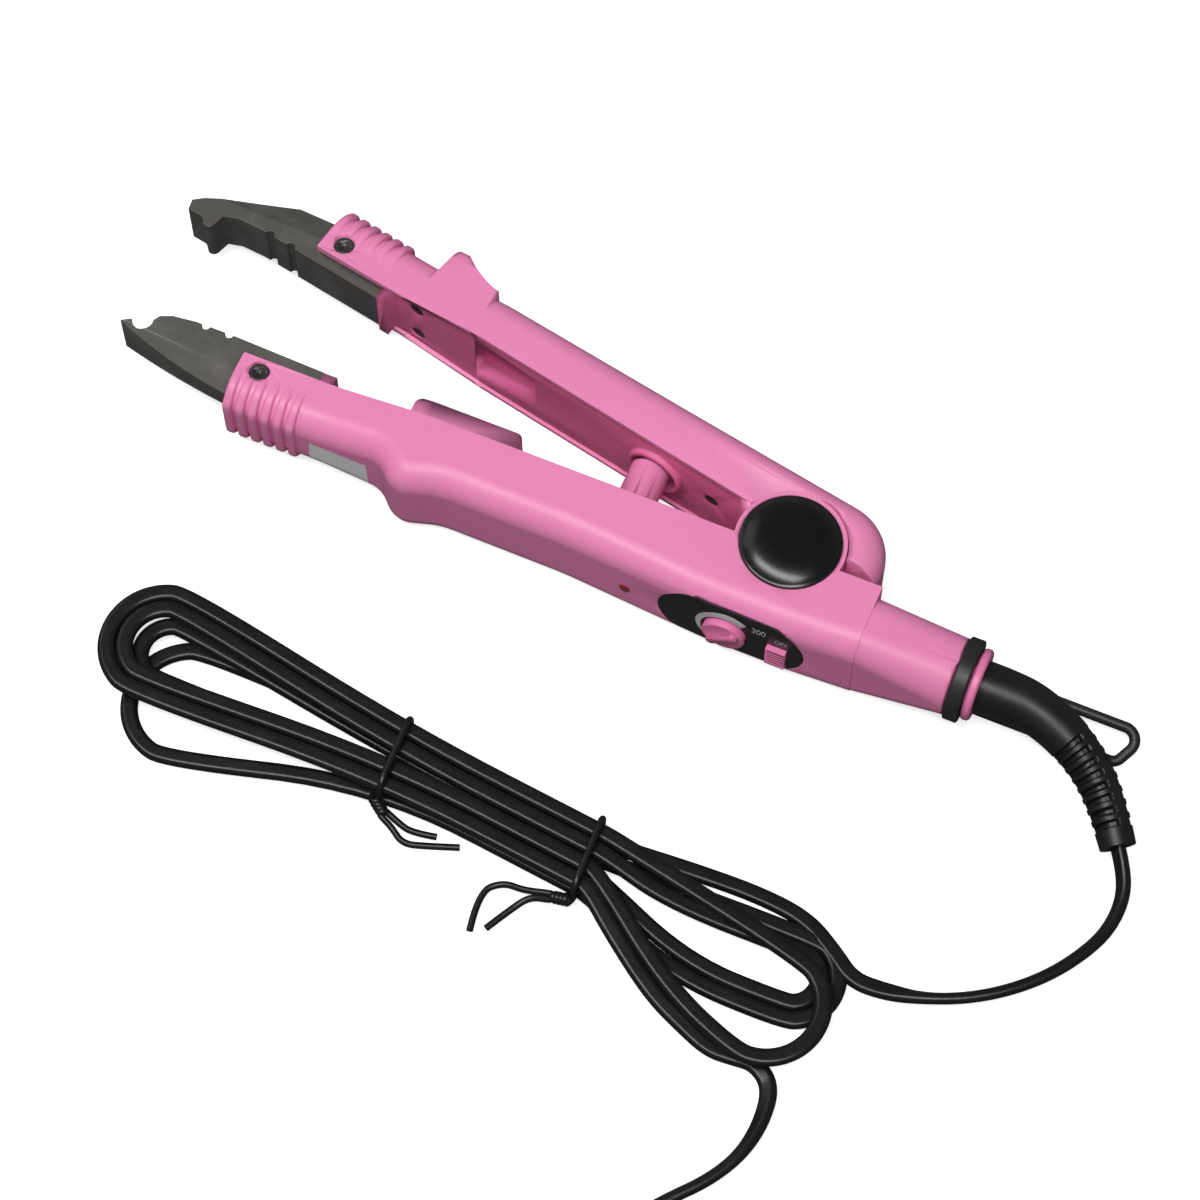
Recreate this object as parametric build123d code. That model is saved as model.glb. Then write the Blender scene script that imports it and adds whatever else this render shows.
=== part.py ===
"""Hair extension iron: two hinged arms with profiled heated jaws, on a corded handle.

Millimetres, +Z up. The origin is on the hinge axis at table level, +X runs along the
lower arm toward the cord and +Y points from the lower arm toward the upper one. The
lower arm is modelled where it lies. The upper arm and everything on it is modelled in
the closed position and then turned open about the hinge axis by OPEN_ANGLE.
"""

from build123d import *
import math
import os

os.makedirs("parts", exist_ok=True)

# Arms
BODY_THICK = 26.0
NOSE_THICK = 20.0
EDGE_ROUND = 6.5
WALL = 2.0
RIM_WALL = 1.2
ARM_REACH = 140.0
TAPER_START = 92.0
TAPER_END = 115.0
OPEN_ANGLE = 11.0
LOWER_RIM = -2.4
LOWER_REAR = 23.9
UPPER_RIM_HINGE = 3.5
UPPER_RIM_NOSE = 4.7
RIM_LEVEL_FROM = 94.0
UPPER_TAIL = 21.3
TAIL_ROUND = 14.0
GRIP_DEPTH = 13.0
UPPER_DEPTH = 13.4
HANDLE_DEPTH = 18.8
HANDLE_SWELL = 2.7
GUARD_X = -92.8
GUARD_RISE = 3.4
TAPER_BEND = 30.0
NECK_RISE = 0.7

# Grip ribs and thumb fin
RIB_COUNT = 6
RIB_PITCH = 3.3
RIB_WIDTH = 2.3
RIB_HEIGHT = 1.0
FIN_HEIGHT = 6.4
FIN_ROUND = 4.5

# Hinge
EAR_RADIUS = 13.35
KNUCKLE_RADIUS = 12.0
KNUCKLE_HEIGHT = 12.0
HINGE_GAP = 0.3
PIN_RADIUS = 2.5
PIN_FIT = 0.02
PIN_RUN = 0.05
PIN_HEAD_RADIUS = 4.5
PIN_HEAD_HEIGHT = 2.0
CAP_RADIUS = 12.2
CAP_SEAT = 0.8
CAP_DOME = 2.5
CAP_GAP = 0.15

# Covers, alignment block, spring post and socket
COVER_THICK = 2.0
LOWER_RECESS = 0.6
UPPER_RECESS = 0.8
COVER_GAP = 0.15
COVER_HINGE_END = 16.5
BLOCK_START = 96.4
BLOCK_LENGTH = 27.9
BLOCK_RISE = 4.6
POST_X = 39.8
POST_RADIUS = 4.825
POST_BORE = 3.4
POST_RISE = 15.0
SOCKET_X = 40.4
SOCKET_RADIUS = 7.4
SOCKET_BORE = 6.1
SOCKET_RISE = 1.8
SOCKET_DEPTH = 10.0
SPRING_RADIUS = 2.6
SPRING_WIRE = 0.45
SPRING_TURNS = 5
POCKET_START = 93.5
POCKET_LENGTH = 17.5
POCKET_WIDTH = 13.0
POCKET_DEPTH = 3.6
LUG_HALF = 8.0

# Jaws
JAW_THICK = 13.0
JAW_TIP = 32.6
JAW_ROOT = 19.1
HEATER_RADIUS = 2.2
HEATER_LENGTH = 24.0
NOTCH_RADIUS = 1.1
JAW_STAND = 4.7
CLOSED_LINE = 2.45
LOWER_HEATER_IN = 3.6
UPPER_HEATER_IN = 2.85
HEATER_FIT = 0.03
INSULATOR_GAP = 0.2

# Screws
SCREW_HEAD = 2.5
SCREW_SHANK = 1.25
SCREW_SINK = 0.45
SCREW_HEAD_HEIGHT = 1.2
SCREW_GAP = 0.15
SCREW_INSET = 5.6
COVER_SCREW_HEAD = 1.9
COVER_SCREW_LENGTH = 5.0

# Controls
PANEL_X = -6.3
PANEL_LENGTH = 37.0
PANEL_WIDTH = 19.0
PANEL_THICK = 1.0
DIAL_X = -7.5
DIAL_RADIUS = 5.35
DIAL_RISE = 1.7
DIAL_GAP = 0.3
DIAL_BAR = 1.0
DIAL_REST_TURN = 50.0
SHAFT_RADIUS = 1.5
SWITCH_X = 5.65
SWITCH_WIDTH = 4.9
SWITCH_LENGTH = 7.3
SWITCH_TRAVEL = 2.5
SWITCH_TOP = 1.8
SWITCH_RISE = 1.4
SWITCH_GAP = 0.15
SWITCH_BODY = 3.4
LENS_X = -33.5
LENS_DROP = 1.0
LENS_RADIUS = 1.4
BOARD_THICK = 1.2
BOARD_LENGTH = 50.0
BOARD_WIDTH = 16.0
BOARD_X = -12.0
POT_RADIUS = 6.8
LEAD_RADIUS = 0.9

# Rear neck, hanging ring, strain relief
NECK_STEP = 0.12
NECK_RIM_STEP = 0.8
NECK_LENGTH = 22.5
NECK_END_RADIUS = 9.2
NECK_WALL = 1.8
SPIGOT_RADIUS = 6.5
RING_WIDTH = 3.6
RING_RADIUS = 10.2
RING_GAP = 0.3
FLANGE_RADIUS = 8.8
FLANGE_WIDTH = 2.2
LOOP_ROD = 1.3
LOOP_REACH = 44.6
LOOP_FAR_ANGLE = -48.0
LOOP_NEAR_ANGLE = -97.4
RELIEF_RADIUS = 6.3
RELIEF_END_RADIUS = 4.15
RELIEF_ROOT = 4.9
RELIEF_RIBS = 8
RELIEF_RIB_PITCH = 3.3
RELIEF_RIB_DEPTH = 1.0

# Cord
CORD_RADIUS = 1.65
CORD_LIFT = 0.05
LAYER_GAP = 0.75
LANE_PITCH = 4.6
WAIST_LIFT = 1.7
TIE_RADIUS = 0.65
TIE_GAP = 0.3
TIE_KNOT = 1.7
PLUG_LENGTH = 34.0
PLUG_HEIGHT = 8.7
BLADE_SPACING = 12.7
BLADE_THICK = 1.5
BLADE_WIDTH = 6.3
BLADE_LENGTH = 17.0
BLADE_ROOT = 6.0

MID = BODY_THICK / 2
NOSE_X = -ARM_REACH
FIN_X = NOSE_X + 28.0
GRIP_Y = LOWER_RIM - GRIP_DEPTH
HANDLE_Y = LOWER_RIM - HANDLE_DEPTH
BACK_Y = HANDLE_Y + HANDLE_SWELL
UPPER_Y = UPPER_RIM_NOSE + UPPER_DEPTH
AXIS_Y = LOWER_RIM - HANDLE_DEPTH / 2 + NECK_RISE


def across(x):
    """Plane square to the X axis at x: sketch X is world Y, sketch Y is world Z."""
    return Plane(origin=(x, 0, MID), x_dir=(0, 1, 0), z_dir=(1, 0, 0))


def facing(y):
    """Plane square to the Y axis at y, its normal toward -Y: sketch X is world X."""
    return Plane(origin=(0, y, MID), x_dir=(1, 0, 0), z_dir=(0, -1, 0))


def plan(z=0.0):
    """Plane parallel to the table at height z."""
    return Plane(origin=(0, 0, z), x_dir=(1, 0, 0), z_dir=(0, 0, 1))


def disc(x, y, radius, low, high):
    """Upright cylinder between two heights."""
    return extrude(plan(low) * Pos(x, y) * Circle(radius), high - low)


def rod(x, z, radius, start, end):
    """Cylinder along Y between two places, z measured from the middle plane."""
    low, high = min(start, end), max(start, end)
    return extrude(facing(high) * Pos(x, z) * Circle(radius), high - low)


def slab(x0, x1, y0, y1, half):
    """Block from x0 to x1 and y0 to y1, to either side of the middle plane."""
    return Pos((x0 + x1) / 2, (y0 + y1) / 2, MID) * Box(x1 - x0, abs(y1 - y0), 2 * half)


def saved(node, part):
    """Writes one sub-part to its file."""
    export_step(part, f"parts/{node}.step")


def turned_open(part):
    """Turns a piece of the upper arm from its closed place to its resting open one."""
    return Rot(0, 0, -OPEN_ANGLE) * part


def upper_rim(x):
    """Inner face of the upper arm in the closed position: slopes, then runs level."""
    share = min(max((-x - EAR_RADIUS) / (RIM_LEVEL_FROM - EAR_RADIUS), 0.0), 1.0)
    return UPPER_RIM_HINGE * (1 - share) + UPPER_RIM_NOSE * share


def lower_rim(x):
    """Inner face of the lower arm, which is flat."""
    return LOWER_RIM


def outline(crest, radii, rim, over):
    """Plan outline of an arm between its crest line and its rim.

    over runs the outline out past the rim and past the nose end, for a hollow.
    """
    side = 1 if crest[0][1] > 0 else -1
    first = (crest[0][0] - over, crest[0][1])
    line = FilletPolyline(first, *crest[1:], radius=radii)
    places = sorted({first[0], -RIM_LEVEL_FROM, -EAR_RADIUS, crest[-1][0]})
    edge = [(x, rim(x) - side * over) for x in places]
    if edge[-1] != crest[-1]:
        edge.append(crest[-1])
    back = Polyline(first, *edge)
    return make_face(Wire([*line.edges(), *back.edges()]))


def side_profile(start, end, margin=0.0):
    """Outline of an arm seen along Y: thick on the body, thin at the nose."""
    wide = BODY_THICK / 2 - margin
    narrow = NOSE_THICK / 2 - margin
    top = [(start, narrow), (-TAPER_END, narrow), (-TAPER_START, wide), (end, wide)]
    bottom = [(x, -z) for x, z in top]
    upper = FilletPolyline(*top, radius=TAPER_BEND)
    lower = FilletPolyline(*bottom, radius=TAPER_BEND)
    ends = [Line(top[0], bottom[0]).edge(), Line(top[-1], bottom[-1]).edge()]
    return make_face(Wire([*upper.edges(), *lower.edges(), *ends]))


def arm_form(crest, radii, rim, margin=0.0, over=0.0, end=None):
    """Solid of an arm, or with a margin and an overrun the hollow inside its walls."""
    side = 1 if crest[0][1] > 0 else -1
    flat = outline(crest, radii, rim, over)
    if margin:
        flat = offset(flat, -margin)
    tall = side_profile(NOSE_X - over - 1, crest[-1][0] + 1, margin)
    form = extrude(plan(-1) * flat, BODY_THICK + 2) & extrude(facing(50) * tall, 100)
    if end is not None:
        form &= slab(NOSE_X - over - 2, end, -60, 60, BODY_THICK)
    level = rim(0) + side * 5
    edges = [
        e for e in form.edges()
        if side * (e.center().Y - level) > 0
        and abs(e.center().Z - MID) > NOSE_THICK / 2 - margin - 1
        and e.bounding_box().size.X > 0.05
    ]
    return fillet(edges, EDGE_ROUND - margin)


LOWER_CREST = [
    (NOSE_X, GRIP_Y),
    (GUARD_X - 6.0, GRIP_Y),
    (GUARD_X, BACK_Y - GUARD_RISE),
    (GUARD_X + 10.6, BACK_Y),
    (-50.0, BACK_Y - 0.2),
    (-12.0, HANDLE_Y - 0.2),
    (8.0, HANDLE_Y - 0.2),
    (LOWER_REAR, HANDLE_Y + 0.6),
]
LOWER_BENDS = [8.0, EDGE_ROUND + 0.3, 20.0, 120.0, 120.0, 90.0]
UPPER_CREST = [
    (NOSE_X, UPPER_Y + 0.3),
    (-96.0, UPPER_Y - 0.2),
    (-40.0, UPPER_Y),
    (UPPER_TAIL, UPPER_Y + 0.5),
    (UPPER_TAIL, UPPER_RIM_HINGE),
]
UPPER_BENDS = [400.0, 400.0, TAIL_ROUND]




def ahead(distance):
    """X of a place on a jaw, a distance beyond the nose end."""
    return NOSE_X - distance


def ribs(crest, side):
    """The row of grip ribs round an arm's nose, fading out on its two flat faces."""
    half = NOSE_THICK / 2
    reach = [(-11.0, half - 0.5), (-6.5, half + 0.4), (-3.0, half - 0.15), (-0.2, half - 2.5)]
    reach.append((RIB_HEIGHT, half - 6.6))
    line = [(crest + side * out, z) for out, z in reach]
    found = []
    for index in range(RIB_COUNT):
        x = NOSE_X + RIB_WIDTH / 2 + 0.1 + index * RIB_PITCH
        upper = Spline(line, tangents=[(side * 1.0, 0.2), (0.0, -1.0)])
        lower = Spline([(y, -z) for y, z in line], tangents=[(side * 1.0, -0.2), (0.0, 1.0)])
        ends = [Line(upper @ 0, lower @ 0), Line(upper @ 1, lower @ 1)]
        shape = make_face(Wire([upper.edge(), lower.edge(), *[end.edge() for end in ends]]))
        rib = extrude(across(x - RIB_WIDTH / 2) * shape, RIB_WIDTH)
        rims = [
            edge for edge in rib.edges()
            if edge.bounding_box().size.X < 0.01 and side * (edge.center().Y - crest) > -9.0
        ]
        found.append(fillet(rims, RIB_WIDTH * 0.3))
    return found


def cover_outline(start, end, margin):
    """Outline of an inner cover, seen along Y: wide on the body, narrow in the nose."""
    wide = BODY_THICK / 2 - RIM_WALL - margin
    narrow = NOSE_THICK / 2 - RIM_WALL - margin
    top = [(start, narrow), (-TAPER_END, narrow), (-TAPER_START, wide), (end, wide)]
    return make_face(Polyline(*top, *[(x, -z) for x, z in reversed(top)], close=True))


def cover_plate(rim, side, near, far, start, end, margin):
    """Plate that follows a rim between two depths inside the arm."""
    line = [(x, rim(x)) for x in (start, -RIM_LEVEL_FROM, end)]
    inner = [(x, y + side * near) for x, y in line]
    outer = [(x, y + side * far) for x, y in reversed(line)]
    strip = make_face(Polyline(*inner, *outer, close=True))
    across_arm = extrude(facing(50) * cover_outline(start, end, margin), 100)
    return extrude(plan(-1) * strip, BODY_THICK + 2) & across_arm


COVER_START = NOSE_X + JAW_ROOT + 0.3
COVER_END = -COVER_HINGE_END
LUG_END = COVER_START + 3.6
EAR_HEIGHT = (BODY_THICK - KNUCKLE_HEIGHT) / 2 - HINGE_GAP
LOWER_FACE = LOWER_RIM - LOWER_RECESS
CREST_FLAT = HANDLE_Y - 0.2
WALL_INSIDE = CREST_FLAT + WALL
BOARD_FACE = -(KNUCKLE_RADIUS + 1.0) - BOARD_THICK
CREST_SLOPE = (HANDLE_Y - BACK_Y) / 38.0
LENS_CREST = BACK_Y - 0.2 + (LENS_X + 50.0) * CREST_SLOPE
LOWER_SCREW = (NOSE_X + SCREW_INSET, LOWER_RIM - 3.4)
UPPER_SCREW = (NOSE_X + SCREW_INSET - 0.3, UPPER_RIM_NOSE + 4.0)


def oval(grow=0.0):
    """Outline of the control panel on the arm's outer face."""
    return Pos(PANEL_X, 0) * SlotOverall(PANEL_LENGTH + 2 * grow, PANEL_WIDTH + 2 * grow)


def panel_skin(grow=0.0):
    """The layer of the handle's outer surface that lies inside the oval outline."""
    outer = arm_form(LOWER_CREST, LOWER_BENDS, lower_rim)
    inner = arm_form(LOWER_CREST, LOWER_BENDS, lower_rim, PANEL_THICK, 5.0)
    prism = extrude(facing(AXIS_Y) * oval(grow), 40)
    return (outer - inner) & prism


def switch_slot(gap):
    """Slot that the switch slider runs in."""
    top = SWITCH_TOP + gap
    bottom = SWITCH_TOP - SWITCH_LENGTH - SWITCH_TRAVEL - gap
    centre = (top + bottom) / 2
    face = facing(BOARD_FACE - 2) * Pos(SWITCH_X, centre)
    return extrude(face * Rectangle(SWITCH_WIDTH + 2 * gap, top - bottom), 20)


def screw(x, y, top, length):
    """Countersunk recess screw seen from above: head, shank and cross slot."""
    head = disc(x, y, SCREW_HEAD, top - SCREW_HEAD_HEIGHT, top)
    head = fillet(head.edges().filter_by(GeomType.CIRCLE).sort_by(Axis.Z)[-1], 0.5)
    shank = disc(x, y, SCREW_SHANK, top - length, top - SCREW_HEAD_HEIGHT)
    slot = Pos(x, y, top) * (Box(3.0, 0.7, 1.4) + Box(0.7, 3.0, 1.4))
    return head + shank - slot


def screw_room(x, y, top, length):
    """Recess and bore that a jaw screw goes into."""
    recess = disc(x, y, SCREW_HEAD + SCREW_GAP, top - SCREW_SINK - SCREW_HEAD_HEIGHT, top + 5)
    return recess + disc(x, y, SCREW_SHANK + 0.02, top - length - 1, top)


NOSE_TOP = MID + NOSE_THICK / 2
SCREW_LENGTH = NOSE_THICK - 5.0


def lower_shell():
    """Casing of the lower arm: handle, finger guard, ribbed nose and hinge ears."""
    shell = arm_form(LOWER_CREST, LOWER_BENDS, lower_rim)
    for rib in ribs(GRIP_Y, -1):
        shell += rib
    for low in (0.0, BODY_THICK - EAR_HEIGHT):
        shell += disc(0, 0, EAR_RADIUS, low, low + EAR_HEIGHT)
    trough_end = COVER_END - 1.0
    shell -= arm_form(LOWER_CREST, LOWER_BENDS, lower_rim, WALL, 6.0, trough_end)
    rear = arm_form(LOWER_CREST, LOWER_BENDS, lower_rim, WALL)
    shell -= rear & slab(trough_end - 0.5, LOWER_REAR + 1, -60, 60, BODY_THICK)
    seat_depth = LOWER_RECESS + COVER_THICK
    shell -= cover_plate(lower_rim, -1, -6.0, seat_depth, COVER_START - 0.1, COVER_END + 0.1, 0.0)
    shell -= disc(0, 0, KNUCKLE_RADIUS + 0.4, EAR_HEIGHT, BODY_THICK - EAR_HEIGHT)
    shell -= disc(0, 0, PIN_RADIUS + PIN_FIT, -1, BODY_THICK + 1)
    shell -= disc(0, 0, CAP_RADIUS + CAP_GAP, BODY_THICK - CAP_SEAT, BODY_THICK + 1)
    shell -= disc(0, 0, CAP_RADIUS + CAP_GAP, -1, CAP_SEAT)
    shell -= disc(0, 0, PIN_HEAD_RADIUS + 0.2, 0, CAP_SEAT + PIN_HEAD_HEIGHT)
    shell -= screw_room(*LOWER_SCREW, NOSE_TOP, SCREW_LENGTH)
    shell -= panel_skin(0.1)
    shell -= rod(DIAL_X, 0, DIAL_RADIUS + DIAL_GAP, BOARD_FACE - 2, CREST_FLAT - 5)
    shell -= switch_slot(SWITCH_GAP)
    shell -= rod(LENS_X, -LENS_DROP, LENS_RADIUS + 0.05, BOARD_FACE - 1, CREST_FLAT - 5)
    shell -= extrude(across(LOWER_REAR - WALL - 1) * Pos(AXIS_Y, 0) * Circle(4.0), WALL + 2)
    for z in (-BOARD_WIDTH / 2 + 1.6, BOARD_WIDTH / 2 - 1.6):
        shell += rod(BOARD_X - BOARD_LENGTH / 2 + 6.0, z, 1.5, BOARD_FACE, LENS_CREST + 1.0)
    return shell


def fin_arch(x, low, top):
    """Section of the thumb fin at x: as wide as the arm there, its crest rounded."""
    share = (x + TAPER_END) / (TAPER_END - TAPER_START)
    wide = NOSE_THICK + (BODY_THICK - NOSE_THICK) * share
    arch = Rectangle(2 * (top - low), wide)
    return across(x) * Pos(low, 0) * fillet(arch.vertices().sort_by(Axis.X)[-2:], FIN_ROUND)


def thumb_fin():
    """Fin that the thumb rests on: steep toward the jaws and sloping to the handle."""
    x = FIN_X
    low = UPPER_Y - EDGE_ROUND - 0.5
    top = UPPER_Y + FIN_HEIGHT
    front = Line((x, low), (x + 1.4, top - 1.3))
    crest = ThreePointArc((x + 1.4, top - 1.3), (x + 2.4, top), (x + 4.1, top - 0.7))
    back = Spline(
        [(x + 4.1, top - 0.7), (x + 7.6, UPPER_Y + 3.0), (x + 11.8, UPPER_Y + 1.0), (x + 17, UPPER_Y - 0.4)],
        tangents=[(0.75, -0.66), (1, -0.1)],
    )
    close = Polyline((x + 17, UPPER_Y - 0.4), (x + 17, low), (x, low))
    flat = make_face(Wire([front.edge(), crest.edge(), back.edge(), *close.edges()]))
    arches = [fin_arch(x - 1, low, top), fin_arch(x + 18, low, top)]
    return extrude(plan(-1) * flat, BODY_THICK + 2) & loft(arches, ruled=True)


def upper_shell():
    """Casing of the upper arm, closed place: ribbed nose, fin, tail and knuckle."""
    shell = arm_form(UPPER_CREST, UPPER_BENDS, upper_rim)
    for rib in ribs(UPPER_Y + 0.3, 1):
        shell += rib
    shell += thumb_fin()
    trough_end = COVER_END - 1.0
    shell -= arm_form(UPPER_CREST, UPPER_BENDS, upper_rim, WALL, 6.0, trough_end)
    seat_depth = UPPER_RECESS + COVER_THICK
    shell -= cover_plate(upper_rim, 1, -6.0, seat_depth, COVER_START - 0.1, COVER_END + 0.1, 0.0)
    knuckle_low = EAR_HEIGHT + HINGE_GAP
    for low in (-1.0, BODY_THICK - knuckle_low):
        shell -= disc(0, 0, EAR_RADIUS + HINGE_GAP, low, low + knuckle_low + 1.0)
    shell += disc(0, 0, KNUCKLE_RADIUS, knuckle_low, BODY_THICK - knuckle_low)
    shell -= disc(0, 0, PIN_RADIUS + PIN_RUN, -1, BODY_THICK + 1)
    shell -= screw_room(*UPPER_SCREW, NOSE_TOP, SCREW_LENGTH)
    return shell


def lower_cover():
    """Inner cover of the lower arm with its alignment block, spring post and lug."""
    far = LOWER_RECESS + COVER_THICK
    plate = cover_plate(lower_rim, -1, LOWER_RECESS, far, COVER_START, COVER_END, COVER_GAP)
    block_top = LOWER_RIM + BLOCK_RISE
    half = BODY_THICK / 2 - RIM_WALL - COVER_GAP
    block = slab(-BLOCK_START, -BLOCK_START + BLOCK_LENGTH, LOWER_FACE - 1, block_top, half)
    narrow = cover_outline(COVER_START, COVER_END, COVER_GAP)
    block &= extrude(facing(50) * narrow, 100)
    sides = block.edges().filter_by(Axis.Z).group_by(Axis.Y)[-1]
    plate += fillet(sides, 2.0)
    foot = rod(-POST_X, 0, POST_RADIUS + 1.2, LOWER_FACE - COVER_THICK, LOWER_FACE)
    post = rod(-POST_X, 0, POST_RADIUS, LOWER_FACE - COVER_THICK, LOWER_FACE + POST_RISE)
    post = chamfer(post.faces().sort_by(Axis.Y)[-1].edges(), 1.0)
    plate += post + foot
    plate -= rod(-POST_X, 0, POST_BORE, LOWER_FACE, LOWER_FACE + POST_RISE + 1)
    plate += slab(COVER_START, LUG_END, LOWER_FACE - 1, LOWER_RIM + 3.2, LUG_HALF)
    return plate - cover_screw_rooms(LOWER_COVER_SCREWS, lower_rim, LOWER_RECESS, -1)


def upper_cover():
    """Inner cover of the upper arm, closed place, with socket, pocket and lug."""
    far = UPPER_RECESS + COVER_THICK
    plate = cover_plate(upper_rim, 1, UPPER_RECESS, far, COVER_START, COVER_END, COVER_GAP)
    face = upper_rim(-SOCKET_X) + UPPER_RECESS
    mouth = face - SOCKET_RISE
    floor = face + SOCKET_DEPTH
    socket = rod(-SOCKET_X, 0, SOCKET_RADIUS, mouth, floor)
    socket = fillet(socket.faces().sort_by(Axis.Y)[0].edges(), 0.6)
    plate += socket
    plate -= rod(-SOCKET_X, 0, SOCKET_BORE, mouth - 1, floor - 1.0)
    x0, x1 = -POCKET_START, -POCKET_START + POCKET_LENGTH
    level = upper_rim(x0) + UPPER_RECESS
    tray = slab(x0 - 1.2, x1 + 1.2, level + 0.5, level + POCKET_DEPTH + 1.0, POCKET_WIDTH / 2 + 1.2)
    plate += tray
    plate -= slab(x0, x1, level - 2, level + POCKET_DEPTH, POCKET_WIDTH / 2)
    near = upper_rim(COVER_START)
    plate += slab(COVER_START, COVER_START + 2.6, near - 2.6, near + UPPER_RECESS + 1, LUG_HALF)
    return plate - cover_screw_rooms(UPPER_COVER_SCREWS, upper_rim, UPPER_RECESS, 1)


UPPER_COVER_SCREWS = [(NOSE_X + 28.9, 5.4), (NOSE_X + 28.9, -5.4), (-24.7, 0.0)]
LOWER_COVER_SCREWS = [(NOSE_X + 28.9, 5.4), (NOSE_X + 28.9, -5.4), (-24.7, 0.0)]


def cover_screw_rooms(places, rim, recess, side):
    """Countersinks and bores for the screws of an inner cover."""
    rooms = Part()
    for x, z in places:
        face = rim(x) + side * recess
        rooms += rod(x, z, COVER_SCREW_HEAD + 0.1, face - side * 5, face + side * 1.2)
        rooms += rod(x, z, 1.05, face - side * 5, face + side * 8)
    return rooms


def cover_screws(places, rim, recess, side):
    """The small screws of an inner cover, sunk in it."""
    group = []
    for x, z in places:
        bottom = rim(x) + side * (recess + 1.2)
        head = rod(x, z, COVER_SCREW_HEAD, bottom, bottom - side * 0.9)
        shank = rod(x, z, 1.0, bottom, bottom + side * COVER_SCREW_LENGTH)
        slot = Pos(x, bottom - side * 0.9, MID + z) * (Box(2.2, 0.8, 0.6) + Box(0.6, 0.8, 2.2))
        group.append(head + shank - slot)
    return Compound([piece.solid() for piece in group])


def lower_jaw_form():
    """Profile of the lower jaw: long flat, two hair notches, a round bite and a tip."""
    root = NOSE_X + JAW_ROOT
    level = LOWER_RIM + JAW_STAND
    flat = Polyline((root, level - 0.7), (ahead(5.0), level), (ahead(15.4), level))
    shoulder = Polyline(
        (ahead(15.4), level), (ahead(21.3), level - 0.75), (ahead(24.2), level - 2.0),
        (ahead(25.2), level - 3.6),
    )
    bite = ThreePointArc(
        (ahead(25.2), level - 3.6), (ahead(27.3), level - 7.0), (ahead(30.2), level - 5.3)
    )
    point = Line((ahead(30.2), level - 5.3), (ahead(JAW_TIP), level - 6.7))
    back = ThreePointArc(
        (ahead(JAW_TIP), level - 6.7), (ahead(17.0), level - 11.0), (ahead(-1.0), level - 13.9)
    )
    close = Polyline((ahead(-1.0), level - 13.9), (root, level - 13.9), (root, level - 0.7))
    edges = [*flat.edges(), *shoulder.edges(), bite.edge(), point.edge(), back.edge()]
    return make_face(Wire([*edges, *close.edges()])), level


def upper_jaw_form():
    """Profile of the upper jaw: long flat, two hair notches, a peg and a blunt nose."""
    root = NOSE_X + JAW_ROOT
    level = CLOSED_LINE
    flat = Polyline((root, level), (ahead(15.4), level), (ahead(21.9), level - 0.65))
    peg = Polyline((ahead(21.9), level - 0.65), (ahead(25.4), level - 2.1), (ahead(26.0), level - 5.7))
    tip = ThreePointArc(
        (ahead(26.0), level - 5.7), (ahead(27.5), level - 6.8), (ahead(28.9), level - 5.7)
    )
    nose = Polyline(
        (ahead(28.9), level - 5.7), (ahead(30.2), level - 5.1), (ahead(33.9), level - 5.2),
        (ahead(34.7), level - 2.6), (ahead(32.6), level - 0.6), (ahead(12.4), level + 11.8),
        (ahead(3.3), level + 12.7), (root, level + 12.7), (root, level),
    )
    return make_face(Wire([*flat.edges(), *peg.edges(), tip.edge(), *nose.edges()])), level


def bevels(near, far):
    """Wedges cut off a jaw's back, above and below: each end is x, ridge y, edge y, drop."""
    cut = Part()
    half = JAW_THICK / 2
    for sign in (1, -1):
        ends = []
        for x, ridge, edge, drop in (near, far):
            top = sign * (half + 0.5)
            corner = [(ridge, top), (edge, top), (edge, sign * (half - drop)), (ridge, sign * half)]
            ends.append(across(x) * make_face(Polyline(*corner, close=True)))
        cut += loft(ends, ruled=True)
    return cut


def jaw(form, level, near, far, screw_place, heater_y):
    """Jaw from its profile, with hair notches, bevelled back, heater bore and screw bore."""
    body = extrude(plan(MID - JAW_THICK / 2) * form, JAW_THICK)
    body -= bevels(near, far)
    for distance in (6.6, 12.8):
        body -= disc(ahead(distance), level, NOTCH_RADIUS, 0, BODY_THICK)
    root = NOSE_X + JAW_ROOT
    bore = extrude(across(root - HEATER_LENGTH) * Pos(heater_y, 0) * Circle(HEATER_RADIUS), HEATER_LENGTH + 1)
    body -= bore
    body -= disc(*screw_place, SCREW_SHANK, 0, BODY_THICK)
    return body


def lower_jaw():
    """Heated jaw of the lower arm."""
    form, level = lower_jaw_form()
    near = (ahead(-2.0), level - 8.6, level - 16.0, 5.0)
    far = (ahead(JAW_TIP + 2.0), level - 6.2, level - 9.0, 2.6)
    return jaw(form, level, near, far, LOWER_SCREW, level - LOWER_HEATER_IN)


def upper_jaw():
    """Heated jaw of the upper arm, closed place."""
    form, level = upper_jaw_form()
    near = (ahead(-2.0), level + 6.6, level + 16.0, 4.2)
    far = (ahead(JAW_TIP + 4.0), level + 0.4, level + 8.0, 4.4)
    return jaw(form, level, near, far, UPPER_SCREW, level + UPPER_HEATER_IN)


def heater(level):
    """Cartridge heater in a jaw's root."""
    root = NOSE_X + JAW_ROOT
    face = across(root - HEATER_LENGTH + 0.5) * Pos(level, 0) * Circle(HEATER_RADIUS - HEATER_FIT)
    return extrude(face, HEATER_LENGTH - 1.0)


def insulator(crest, bends, rim, side, form, screw_place):
    """Heat-proof holder that fills the nose around a jaw's root."""
    room = arm_form(crest, bends, rim, WALL + INSULATOR_GAP, 6.0)
    reach = rim(NOSE_X)
    holder = room & slab(NOSE_X + 0.6, NOSE_X + JAW_ROOT, reach + side * 0.6, reach + side * 30, 40)
    holder -= extrude(plan(MID - JAW_THICK / 2) * form, JAW_THICK)
    return holder - screw_room(*screw_place, NOSE_TOP, SCREW_LENGTH)


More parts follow.
